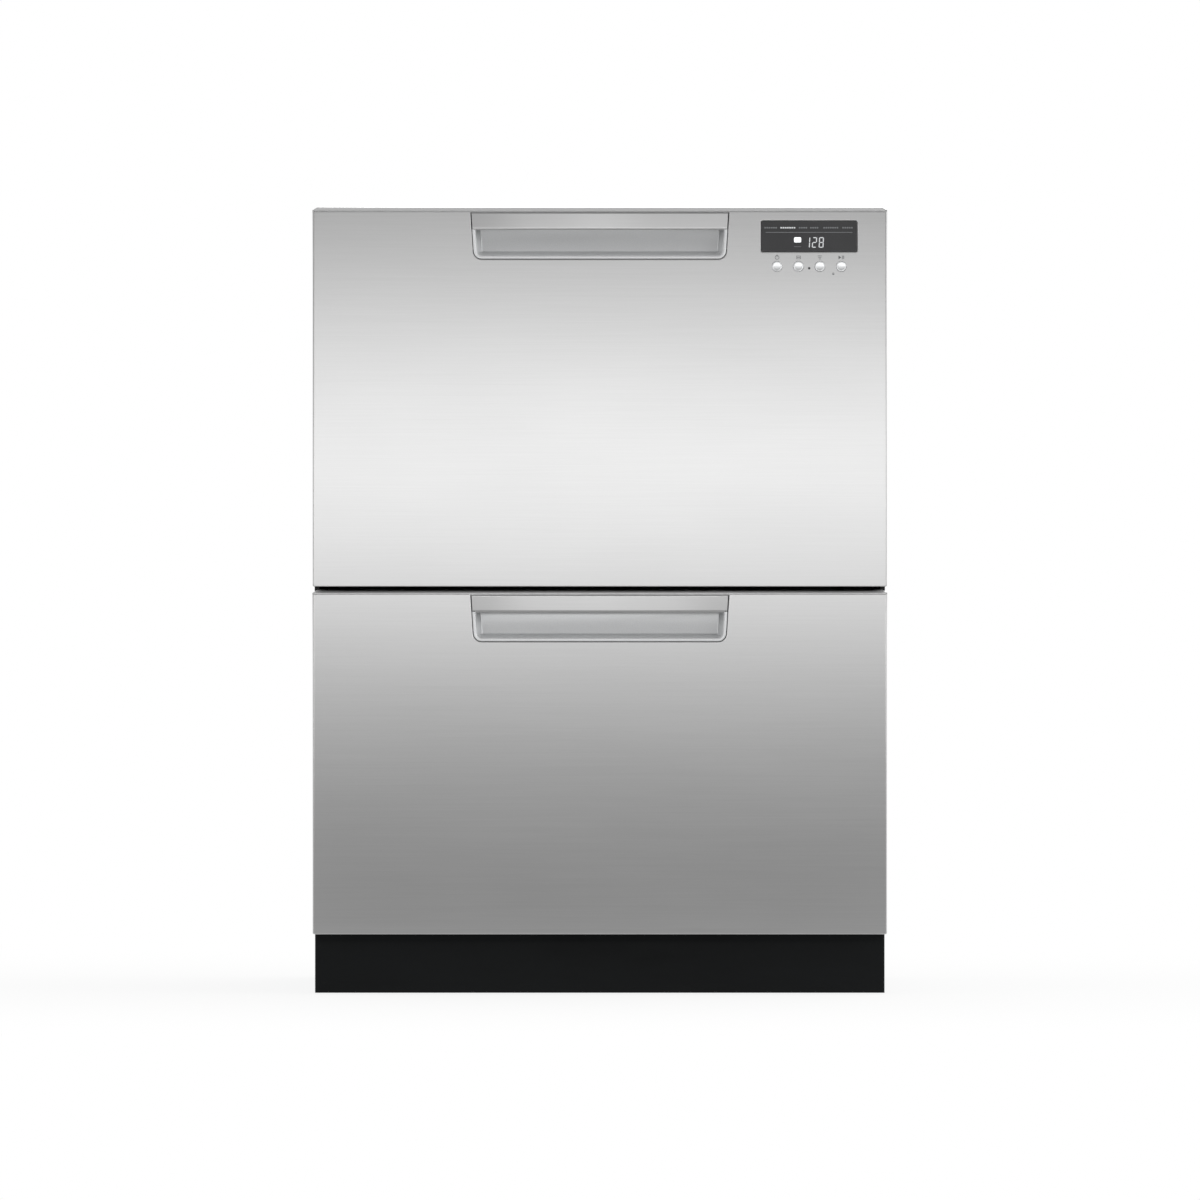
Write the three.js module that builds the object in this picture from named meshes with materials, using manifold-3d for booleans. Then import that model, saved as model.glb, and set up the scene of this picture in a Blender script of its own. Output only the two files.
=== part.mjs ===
// A two-drawer dishwasher in a stainless finish, closed, as it stands between kitchen cabinets.
// Millimetres. +Z is up, the drawer fronts face -Y, and the origin is on the floor in the middle
// of the footprint. Each drawer is a tub on telescopic runners under its own lift-off lid.
import * as THREE from "three";
import { mergeVertices } from "three/addons/utils/BufferGeometryUtils.js";
import Module from "manifold-3d";

const wasm = await Module();
wasm.setup();

// ---------------------------------------------------------------- driving dimensions
// The face, from the floor up.
const FRONT_WIDTH = 599; // both drawer fronts
const OVERALL_DEPTH = 573; // button caps to back panel
const KICK_HEIGHT = 62.5; // floor to the underside of the lower front
const LOWER_FRONT_HEIGHT = 359;
const FRONT_GAP = 3.2; // between the two fronts
const UPPER_FRONT_HEIGHT = 395.3;

// Drawer front: a folded stainless tray.
const FRONT_DEPTH = 20;
const FRONT_SHEET = 1;
const FRONT_FOLD = 2; // bend radius along the sides and bottom
const TOP_ROLL_HEIGHT = 4.2; // the rolled band along the top edge
const TOP_ROLL_DEPTH = 5;
const TOP_CORNER_CUT = 5; // the band's mitred ends
const LINER_THICKNESS = 2.3;
const LINER_RIB = 2;
const LINER_CORNER = 0.8; // extra room over the folded bottom corners

// Recessed handle.
const HANDLE_TOP_WIDTH = 268.3;
const HANDLE_BOTTOM_WIDTH = 262;
const HANDLE_HEIGHT = 49.6;
const HANDLE_CORNER = 8.5;
const HANDLE_DEPTH = 19.2;
const HANDLE_WALL = 1.4;
const HANDLE_LIP = 1.6; // the flush rim seen round the scoop
const GRIP_HEIGHT = 19.6;
const GRIP_THICKNESS = 1.5;
const GRIP_RETURN = 6;

// Control panel, on the upper front.
const DISPLAY_WIDTH = 99.8;
const DISPLAY_HEIGHT = 31.8;
const DISPLAY_CORNER = 1.6;
const DISPLAY_INSET = 81.5; // centre, in from the front's right edge
const DISPLAY_DROP = 30.5; // front's top edge to the display's centre
const BUTTON_DIAMETER = 10;
const BUTTON_PITCH = 22.3;
const BUTTON_INSET = 114.9; // the leftmost button, in from the right edge
const BUTTON_DROP = 61.7; // front's top edge to the buttons' centres
const BUTTON_PROUD = 0.7;
const BUTTON_NAMES = ["button_power", "button_drawer", "button_programme", "button_start"];

// Chassis.
const CHASSIS_INSET = 2; // how far the fronts stand past each side panel
const CHASSIS_TOP_DROP = 3; // below the upper front's top edge
const CHASSIS_SHEET = 1.2;
const CHASSIS_CLEARANCE = 14; // floor to the side panels
const SIDE_FLANGE = 5; // the side panels' front return
const REAR_FLANGE = 15;
const TOP_FLANGE = 14; // how far the top panel's edges turn down
const SEAL_DEPTH = 4;
const SEAL_WIDTH = 5;
const RAIL_TOP = 72; // the front rail over the toe space
const RAIL_LIP = 9.5;
const CROSSMEMBER_HEIGHT = 10.5;
const CROSSMEMBER_DEPTH = 34;
const BASE_FLOOR = 22; // floor to the base pan's sheet
const BASE_WALL = 36; // how far the pan's edges turn up
const KICK_RECESS = 36; // drawer face to toe kick
const KICK_SHEET = 1.5;
const KICK_FLOOR_GAP = 1.5;
const KICK_RETURN = 10;

// Feet.
const FOOT_DIAMETER = 44;
const FOOT_PAD = 8;
const FOOT_NUT = 17; // across corners
const STUD_DIAMETER = 10;
const STUD_LENGTH = 78; // above the pad
const FOOT_BOSS_DIAMETER = 24;
const FOOT_BOSS_HEIGHT = 26;
const FOOT_SIDE_INSET = 35; // chassis side to a foot's axis
const FOOT_FRONT_INSET = 60; // chassis front to the front feet
const FOOT_REAR_INSET = 42;

// Telescopic runners.
const RUNNER_HEIGHT = 45;
const RUNNER_DEPTH = 13.2;
const RUNNER_SHEET = 1.5;
const RUNNER_LENGTH = 510;
const RUNNER_PLAY = 0.4; // between the nested members
const RUNNER_RACE = 2; // the middle member's thicker ball race
const RUNNER_SPACER = 4; // side panel to the outer member
const PAD_LENGTH = 34;
const PAD_HEIGHT = 26;
const RUNNER_DROP = 190; // tub rim to the runner's centre

// Tub, measured down from its rim.
const RIM_DROP = 50; // front's top edge to the tub rim
const RIM_PLAY = 2.1; // between the tub's rim and the runners
const RIM_THICKNESS = 12;
const RIM_OVERHANG = 9; // how far the rim stands past the tub's wall
const TUB_WALL = 3.2;
const TUB_SHOULDER = 43; // the deep front wall that houses the dispenser
const TUB_BACK = 183; // behind the origin
const TUB_DEPTH = 244; // rim to the floor's edge
const FLOOR_FALL = 5; // floor's edge to the sump
const SUMP_RADIUS = 94;
const SUMP_PIT_RADIUS = 81;
const SUMP_DEPTH = 19;
const TUB_CORNER = 52;
const TUB_DRAFT = 6; // how much narrower each side is at the floor
const MOTOR_RADIUS = 78;
const MOTOR_HEIGHT = 21;

// Inside the tub.
const FILTER_THICKNESS = 2;
const ARM_REACH = 166;
const ARM_PIN_RADIUS = 5;
const ARM_PLAY = 0.4;
const ARM_HUB_RADIUS = 17;
const ARM_THICKNESS = 10;
const BLADE_SIDES = 8;
const JET_RADIUS = 2.2;
const RACK_WIRE = 2; // radius
const RACK_FLOOR_RISE = 36; // tub floor's edge to the rack's floor
const RACK_TOP_DROP = 118; // tub rim to the rack's top rail
const RACK_MARGIN = 19; // tub wall to rack
const TINE_HEIGHT = 56;
const TINE_RADIUS = 1.4;
const TINE_PITCH = 50;
const TINE_ROWS = 4;
const BASKET_WIDTH = 74;
const BASKET_LENGTH = 210;
const BASKET_HEIGHT = 124;
const BASKET_WALL = 2;
const BASKET_SLOT = 5;
const CUP_WIRE = 1.6;
const EYE_PLAY = 0.3; // round the turning wire's corners
const CUP_RACK_WIDTH = 92;
const CUP_RACK_LENGTH = 236;
const CUP_RACK_DROP = 106; // tub rim to the shelf's pivot
const DISPENSER_X = -70;
const DISPENSER_WIDTH = 66;
const DISPENSER_HEIGHT = 52;
const DISPENSER_DEPTH = 22;
const DISPENSER_DROP = 40; // tub rim to the detergent door's top
const DOOR_THICKNESS = 3;
const RINSE_CAP_RADIUS = 15;

// Lid.
const LID_SEAL_HEIGHT = 6.5;
const LID_SEAL_WIDTH = 7;
const LID_PLATE = 3;
const LID_RIM = 15; // the plate's upturned edge
const LID_RIB = 2.2;
const LID_EAR = 44; // length of each side ear
const LID_PIN_RADIUS = 3.5;
const LID_PIN_PLAY = 0.4;
const LID_PIN_LENGTH = 17;
const LID_EAR_THICKNESS = 5;
const LID_TRAVEL = 12;
const ACTUATOR_Y = 60;
const ACTUATOR_HEIGHT = 21;
const ACTUATOR_LENGTH = 56;
const ACTUATOR_DEPTH = 14;

// Connections on the back.
const INLET_RADIUS = 13;
const DRAIN_RADIUS = 11;
const POWER_RADIUS = 12;
const FITTING_LENGTH = 17;
const SERVICE_MARGIN = 22;
const SERVICE_THICKNESS = 3;
const FITTING_HEIGHT = 96;
const BACK_BEAD = 3; // depth of the back panel's pressed beads
const BEAD_PITCH = 150;
const BEAD_DROP = 127; // chassis top to the highest bead
const BEAD_MARGIN = 55; // chassis side to a bead's end
const INLET_INSET = 72.5; // chassis side to the connection's axis
const DRAIN_INSET = 117.5;
const POWER_INSET = 62.5;

const SEAT = 0.3; // gap between pieces that touch
const RING_STEPS = 5; // facets in a quarter turn of the tub's corners and sump

// ---------------------------------------------------------------- derived places
const heightOverall = KICK_HEIGHT + LOWER_FRONT_HEIGHT + FRONT_GAP + UPPER_FRONT_HEIGHT;
const faceY = -OVERALL_DEPTH / 2 + BUTTON_PROUD;
const backY = OVERALL_DEPTH / 2;
const frontBackY = faceY + FRONT_DEPTH;
const chassisFrontY = frontBackY + SEAL_DEPTH + 2 * SEAT;
const chassisTop = heightOverall - CHASSIS_TOP_DROP;
const displayX = FRONT_WIDTH / 2 - DISPLAY_INSET;
const buttonX = FRONT_WIDTH / 2 - BUTTON_INSET;
const sideOuter = FRONT_WIDTH / 2 - CHASSIS_INSET;
const sideInner = sideOuter - CHASSIS_SHEET;
const kickFrontY = faceY + KICK_RECESS;
const kickBackY = kickFrontY + KICK_SHEET;
const backPanelY = backY - BACK_BEAD - CHASSIS_SHEET;
const lowerFrontTop = KICK_HEIGHT + LOWER_FRONT_HEIGHT;
const fittingZ = CHASSIS_CLEARANCE + FITTING_HEIGHT;
const runnerOuterX = sideInner - RUNNER_SPACER;
const runnerInnerX = runnerOuterX - RUNNER_DEPTH;
const runnerStartY = chassisFrontY + 5;
const tubFrontY = frontBackY + SEAT;
const cavityFrontY = tubFrontY + TUB_SHOULDER;
const cavityBackY = TUB_BACK - TUB_WALL;
const rimHalfWidth = runnerInnerX - RIM_PLAY;
const tubHalfWidth = rimHalfWidth - RIM_OVERHANG;
const cavityHalfWidth = tubHalfWidth - TUB_WALL;
const sumpY = (cavityFrontY + cavityBackY) / 2;
const sumpTop = -(TUB_DEPTH + FLOOR_FALL);
const filterTop = sumpTop - SEAT;
const filterBottom = filterTop - FILTER_THICKNESS;
const pitBottom = sumpTop - SUMP_DEPTH;
const lidSealTop = SEAT + LID_SEAL_HEIGHT;
const lidBottom = lidSealTop + SEAT;
const handleTop = RIM_DROP - TOP_ROLL_HEIGHT;
const handleBottom = handleTop - HANDLE_HEIGHT;
const rackFloor = -(TUB_DEPTH - RACK_FLOOR_RISE);
const rackTop = -RACK_TOP_DROP;
const rackHalfWidth = cavityHalfWidth - TUB_DRAFT - RACK_MARGIN;
const rackFrontY = cavityFrontY + RACK_MARGIN;
const rackBackY = cavityBackY - TUB_DRAFT - RACK_MARGIN;
const armBottom = filterTop + 6;

// ---------------------------------------------------------------- finishes
const finish = (color, roughness, metalness = 0) =>
  new THREE.MeshStandardMaterial({ color, roughness, metalness });
const stainless = finish("#c9cacb", 0.32, 1);
const zincSteel = finish("#aeb2b5", 0.45, 1);
const blackSteel = finish("#16191b", 0.4, 0.3);
const darkRubber = finish("#1b1c1d", 0.8);
const whitePlastic = finish("#e3e5e4", 0.45);
const greyPlastic = finish("#8d9397", 0.5);
const darkPlastic = finish("#2b2e30", 0.5);
const silverPlastic = finish("#c4c6c8", 0.35, 0.4);
const displayGlass = finish("#3a3b3d", 0.15);
const coatedWire = finish("#a9aeb2", 0.45);

// ---------------------------------------------------------------- solids from geometry
function solidOf(geometry) {
  const bare = new THREE.BufferGeometry();
  bare.setAttribute("position", geometry.getAttribute("position"));
  bare.setIndex(geometry.index);
  const merged = mergeVertices(bare, 1e-4);
  const corners = merged.index.array;
  const kept = [];
  for (let i = 0; i < corners.length; i += 3) {
    const [a, b, c] = corners.slice(i, i + 3);
    if (a !== b && b !== c && c !== a) kept.push(a, b, c);
  }
  return new wasm.Manifold(
    new wasm.Mesh({
      numProp: 3,
      vertProperties: new Float32Array(merged.attributes.position.array),
      triVerts: new Uint32Array(kept),
    }),
  );
}

function geometryOf(solid) {
  const mesh = solid.getMesh();
  const shared = new THREE.BufferGeometry();
  shared.setAttribute("position", new THREE.BufferAttribute(mesh.vertProperties.slice(), 3));
  shared.setIndex(new THREE.BufferAttribute(mesh.triVerts.slice(), 1));
  const geometry = shared.toNonIndexed();
  geometry.computeVertexNormals();
  return geometry;
}

const join = (first, ...others) => others.reduce((sum, other) => sum.add(other), first);
const cut = (first, ...others) => others.reduce((rest, other) => rest.subtract(other), first);

// The same solid on the other side of the YZ plane.
function mirrored(solid) {
  const geometry = geometryOf(solid).scale(-1, 1, 1);
  const position = geometry.getAttribute("position");
  const flipped = new THREE.BufferGeometry();
  flipped.setAttribute("position", position);
  const order = [];
  for (let i = 0; i < position.count; i += 3) order.push(i, i + 2, i + 1);
  flipped.setIndex(order);
  return solidOf(flipped);
}

// A span of the given size about its middle.
const about = (middle, size) => [middle - size / 2, middle + size / 2];

function block([x0, x1], [y0, y1], [z0, z1]) {
  const geometry = new THREE.BoxGeometry(x1 - x0, y1 - y0, z1 - z0);
  geometry.translate((x0 + x1) / 2, (y0 + y1) / 2, (z0 + z1) / 2);
  return solidOf(geometry);
}

// Turns a shape's own axes (u, v, w) so that w runs along the named axis.
const axesAlong = {
  x: [new THREE.Vector3(0, 1, 0), new THREE.Vector3(0, 0, 1), new THREE.Vector3(1, 0, 0)],
  y: [new THREE.Vector3(1, 0, 0), new THREE.Vector3(0, 0, 1), new THREE.Vector3(0, -1, 0)],
  z: [new THREE.Vector3(1, 0, 0), new THREE.Vector3(0, 1, 0), new THREE.Vector3(0, 0, 1)],
};

// Extrudes an outline along an axis: (y, z) along x, (x, z) along y, (x, y) along z.
function prism(axis, outline, [from, to], curveSegments = 6) {
  const shape = Array.isArray(outline)
    ? new THREE.Shape(outline.map(([u, v]) => new THREE.Vector2(u, v)))
    : outline;
  const depth = to - from;
  const geometry = new THREE.ExtrudeGeometry(shape, { depth, bevelEnabled: false, curveSegments });
  geometry.applyMatrix4(new THREE.Matrix4().makeBasis(...axesAlong[axis]));
  const start = axis === "y" ? to : from;
  geometry.translate(...["x", "y", "z"].map((name) => (name === axis ? start : 0)));
  return solidOf(geometry);
}

// A round bar along an axis; (u, v) are the other two coordinates in x, y, z order.
function rod(axis, radius, [u, v], [from, to], sides = 20, endRadius = radius) {
  const geometry = new THREE.CylinderGeometry(endRadius, radius, to - from, sides);
  const middle = (from + to) / 2;
  if (axis === "x") geometry.rotateZ(-Math.PI / 2).translate(middle, u, v);
  if (axis === "y") geometry.translate(u, middle, v);
  if (axis === "z") geometry.rotateX(Math.PI / 2).translate(u, v, middle);
  return solidOf(geometry);
}

// A closed solid through rings of equally many points, with flat ends; closed loops have none.
function loft(rings, isLoop = false) {
  const count = rings[0].length;
  const points = rings.flat();
  const triangles = [];
  const last = isLoop ? rings.length : rings.length - 1;
  for (let r = 0; r < last; r += 1) {
    const here = r * count;
    const next = ((r + 1) % rings.length) * count;
    for (let i = 0; i < count; i += 1) {
      const j = (i + 1) % count;
      triangles.push(here + i, here + j, next + j, here + i, next + j, next + i);
    }
  }
  if (!isLoop) {
    const top = (rings.length - 1) * count;
    for (let i = 1; i < count - 1; i += 1) {
      triangles.push(0, i + 1, i, top, top + i, top + i + 1);
    }
  }
  let volume = 0;
  for (let i = 0; i < triangles.length; i += 3) {
    const [a, b, c] = triangles.slice(i, i + 3).map((n) => points[n]);
    volume += a.clone().cross(b).dot(c);
  }
  if (volume < 0) triangles.reverse();
  const geometry = new THREE.BufferGeometry().setFromPoints(points);
  geometry.setIndex(triangles);
  return solidOf(geometry);
}

// Corner-rounded rectangle as [u, v] points, with its own radius at the low-v and high-v ends.
function roundedOutline([u0, u1], [v0, v1], lowRadius, highRadius = lowRadius, steps = RING_STEPS) {
  const points = [];
  const corner = (u, v, radius, start) => {
    for (let i = 0; i <= steps; i += 1) {
      const angle = start + (i / steps) * (Math.PI / 2);
      points.push([u + radius * Math.cos(angle), v + radius * Math.sin(angle)]);
    }
  };
  corner(u0 + lowRadius, v0 + lowRadius, lowRadius, Math.PI);
  corner(u1 - lowRadius, v0 + lowRadius, lowRadius, 1.5 * Math.PI);
  corner(u1 - highRadius, v1 - highRadius, highRadius, 0);
  corner(u0 + highRadius, v1 - highRadius, highRadius, 0.5 * Math.PI);
  return points;
}

// A bent wire through points that lie in one plane, whose normal is given.
function wire(points, radius, normal, isLoop = false, sides = 4) {
  const path = points.map((p) => new THREE.Vector3(...p));
  const side = new THREE.Vector3(...normal);
  const count = path.length;
  const reach = radius / Math.cos(Math.PI / sides);
  const at = (i) => path[(i + count) % count];
  const rings = path.map((point, i) => {
    const before = isLoop || i > 0 ? point.clone().sub(at(i - 1)).normalize() : null;
    const after = isLoop || i < count - 1 ? at(i + 1).clone().sub(point).normalize() : null;
    const along = new THREE.Vector3().add(before ?? after).add(after ?? before).normalize();
    const across = side.clone().cross(along);
    const mitre = 1 / along.dot(before ?? after);
    return Array.from({ length: sides }, (_, k) => {
      const angle = ((k + 0.5) / sides) * 2 * Math.PI;
      return point
        .clone()
        .addScaledVector(side, reach * Math.cos(angle))
        .addScaledVector(across, reach * mitre * Math.sin(angle));
    });
  });
  return loft(rings, isLoop);
}

function addPiece(group, name, solid, material) {
  const mesh = new THREE.Mesh(geometryOf(solid), material);
  mesh.name = name;
  group.add(mesh);
}

// ---------------------------------------------------------------- drawer front
// The front's outline at one depth, inset from the full size; the top corners are mitred.
function frontRing(y, [bottom, top], sideInset, bottomInset, topInset, grow = 0) {
  const half = FRONT_WIDTH / 2 - sideInset + grow;
  const low = bottom + bottomInset - grow;
  const high = top - topInset + grow;
  const cutX = TOP_CORNER_CUT;
  const cutZ = TOP_ROLL_HEIGHT - topInset * 0.9;
  const outline = [
    [-half, low + 1.5],
    [-half + 0.5, low + 0.5],
    [-half + 1.5, low],
    [half - 1.5, low],
    [half - 0.5, low + 0.5],
    [half, low + 1.5],
    [half, high - cutZ],
    [half - cutX * 0.35, high - cutZ * 0.45],
    [half - cutX, high],
    [-half + cutX, high],
    [-half + cutX * 0.35, high - cutZ * 0.45],
    [-half, high - cutZ],
  ];
  return outline.map(([x, z]) => new THREE.Vector3(x, y, z));
}

// The handle's opening at some growth round its outline.
function handleOutline(grow = 0, steps = 5) {
  const top = handleTop + grow;
  const bottom = handleBottom - grow;
  const radius = HANDLE_CORNER + grow;
  const lean = (HANDLE_TOP_WIDTH - HANDLE_BOTTOM_WIDTH) / 2 / HANDLE_HEIGHT;
  const halfAt = (z) => HANDLE_BOTTOM_WIDTH / 2 + grow + (z - handleBottom) * lean;
  const right = [[halfAt(top), top]];
  const centreX = halfAt(bottom + radius) - radius;
  for (let i = 0; i <= steps; i += 1) {
    const angle = (i / steps) * (Math.PI / 2);
    right.push([centreX + radius * Math.cos(angle), bottom + radius * (1 - Math.sin(angle))]);
  }
  const left = right.map(([x, z]) => [-x, z]).reverse();
  return [...right, ...left];
}

function frontPanel(span, hasControls) {
  const outer = [
    frontRing(frontBackY, span, 0, 0, 0),
    frontRing(faceY + TOP_ROLL_DEPTH, span, 0, 0, 0),
    frontRing(faceY + FRONT_FOLD, span, 0, 0, TOP_ROLL_HEIGHT * 0.2),
    frontRing(faceY + FRONT_FOLD * 0.3, span, FRONT_FOLD * 0.3, FRONT_FOLD * 0.3, TOP_ROLL_HEIGHT * 0.52),
    frontRing(faceY, span, FRONT_FOLD, FRONT_FOLD, TOP_ROLL_HEIGHT),
  ];
  const inner = [
    frontRing(faceY + FRONT_SHEET, span, FRONT_FOLD, FRONT_FOLD, TOP_ROLL_HEIGHT, -FRONT_SHEET / 2),
    frontRing(faceY + FRONT_FOLD, span, 0, 0, TOP_ROLL_HEIGHT * 0.35, -FRONT_SHEET),
    frontRing(faceY + TOP_ROLL_DEPTH, span, 0, 0, 0, -FRONT_SHEET),
    frontRing(frontBackY, span, 0, 0, 0, -FRONT_SHEET),
  ];
  let panel = loft([...outer, ...inner], true);
  const sheetFace = loft([
    frontRing(faceY, span, FRONT_FOLD, FRONT_FOLD, TOP_ROLL_HEIGHT),
    frontRing(faceY + FRONT_SHEET, span, FRONT_FOLD, FRONT_FOLD, TOP_ROLL_HEIGHT, -FRONT_SHEET / 2),
  ]);
  panel = panel.add(sheetFace);
  const through = [faceY - 1, faceY + 3 * FRONT_SHEET];
  panel = panel.subtract(prism("y", handleOutline(SEAT), through));
  if (!hasControls) return panel;
  const window = roundedOutline(
    about(displayX, DISPLAY_WIDTH + 2 * SEAT),
    about(RIM_DROP - DISPLAY_DROP, DISPLAY_HEIGHT + 2 * SEAT),
    DISPLAY_CORNER,
    DISPLAY_CORNER,
    2,
  );
  panel = panel.subtract(prism("y", window, through));
  const holes = BUTTON_NAMES.map((_, i) =>
    rod("y", BUTTON_DIAMETER / 2 + SEAT, buttonPlace(i), through, 16),
  );
  return cut(panel, ...holes);
}

const buttonPlace = (i) => [buttonX + i * BUTTON_PITCH, RIM_DROP - BUTTON_DROP];

// The moulded carrier that closes the back of the front, ribbed up to the sheet.
function frontLiner([bottom, top], hasControls) {
  const inset = FRONT_SHEET + SEAT;
  const half = FRONT_WIDTH / 2 - inset;
  const low = bottom + inset + LINER_CORNER;
  const high = top - TOP_ROLL_HEIGHT - inset;
  const plateFront = frontBackY - LINER_THICKNESS;
  const ribFront = faceY + FRONT_SHEET + SEAT;
  let liner = block([-half, half], [plateFront, frontBackY], [low, high]);
  const ribSpan = [ribFront, plateFront + 1];
  const ribTop = handleBottom - 12;
  const ribCount = 3;
  for (let i = 0; i < ribCount; i += 1) {
    const x = (i / (ribCount - 1) - 0.5) * 2 * (half - FRONT_FOLD - 24);
    liner = liner.add(block(about(x, LINER_RIB), ribSpan, [low + 12, ribTop]));
  }
  for (const z of [low + 20, ribTop]) {
    liner = liner.add(block([-half + 20, half - 20], ribSpan, about(z, LINER_RIB)));
  }
  liner = liner.subtract(prism("y", handleOutline(HANDLE_LIP + SEAT), [ribFront - 1, frontBackY + 1]));
  if (!hasControls) return liner;
  const window = block(
    about(displayX, DISPLAY_WIDTH + 14),
    [ribFront - 1, frontBackY + 1],
    [RIM_DROP - BUTTON_DROP - 8, RIM_DROP - DISPLAY_DROP + DISPLAY_HEIGHT / 2 - 2],
  );
  return liner.subtract(window);
}

// A scoop with a flush rim, open to the front, whose floor curves up to its back.
function handlePocket() {
  const ringAt = (y, inset, topInset) =>
    handleOutline(-inset).map(([x, z]) => new THREE.Vector3(x, y, Math.min(z, handleTop - topInset)));
  const depthInside = HANDLE_DEPTH - HANDLE_WALL;
  const scoop = [
    [-1, 0],
    [depthInside * 0.3, 0.5],
    [depthInside * 0.6, 2],
    [depthInside * 0.85, 5],
    [depthInside, 10],
  ];
  const body = loft([
    ringAt(faceY, 0, 0),
    ringAt(faceY + HANDLE_DEPTH - 5, 0, 0),
    ringAt(faceY + HANDLE_DEPTH, 3, 0),
  ]);
  const hollow = loft(
    scoop.map(([depth, inset]) => ringAt(faceY + depth, HANDLE_LIP + inset, HANDLE_LIP)),
  );
  return cut(body, hollow);
}

// The stainless strip that the fingers pull, hooked back along its lower edge.
function handleGrip() {
  const top = handleTop - HANDLE_LIP - SEAT;
  const bottom = handleTop - GRIP_HEIGHT;
  const back = faceY + GRIP_THICKNESS;
  const face = [
    [faceY + 0.5, top],
    [faceY, top - 0.5],
    [faceY, bottom + 1.2],
    [faceY + 0.4, bottom + 0.3],
    [faceY + 1.2, bottom],
    [back, bottom],
    [back, top],
  ];
  const strip = prism("x", face, about(0, HANDLE_TOP_WIDTH));
  const opening = prism("y", handleOutline(-HANDLE_LIP - SEAT), [faceY - 1, faceY + 10]);
  const hook = block(
    about(0, HANDLE_BOTTOM_WIDTH - 4),
    [back - 0.5, faceY + GRIP_RETURN],
    [bottom, bottom + GRIP_THICKNESS],
  );
  return strip.intersect(opening).add(hook);
}

function displayLens() {
  const outline = (grow) =>
    roundedOutline(
      about(displayX, DISPLAY_WIDTH + grow),
      about(RIM_DROP - DISPLAY_DROP, DISPLAY_HEIGHT + grow),
      DISPLAY_CORNER,
      DISPLAY_CORNER,
      3,
    );
  const behindSheet = faceY + FRONT_SHEET + SEAT;
  const lens = prism("y", outline(0), [faceY, behindSheet + 3]);
  return lens.add(prism("y", outline(6), [behindSheet, behindSheet + 3]));
}

function controlButton([x, z]) {
  const radius = BUTTON_DIAMETER / 2;
  const behindSheet = faceY + FRONT_SHEET + SEAT;
  const profile = [
    [0, -BUTTON_PROUD],
    [radius - 1, -BUTTON_PROUD],
    [radius, -BUTTON_PROUD + 0.5],
    [radius, behindSheet - faceY],
    [radius + 1.5, behindSheet - faceY],
    [radius + 1.5, behindSheet - faceY + 1.5],
    [0, behindSheet - faceY + 1.5],
  ];
  const points = profile.map(([r, y]) => new THREE.Vector2(r, y));
  const turned = new THREE.LatheGeometry(points, 16).translate(x, faceY, z);
  return solidOf(turned);
}

// ---------------------------------------------------------------- tub
// One level of the tub's form: half width, front and back, corner radii front and back.
function tubRing(z, half, front, back, frontRadius, backRadius) {
  return roundedOutline([-half, half], [front, back], frontRadius, backRadius).map(
    ([x, y]) => new THREE.Vector3(x, y, z),
  );
}

const sumpRing = (z, radius) =>
  tubRing(z, radius, sumpY - radius, sumpY + radius, radius, radius);

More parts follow.
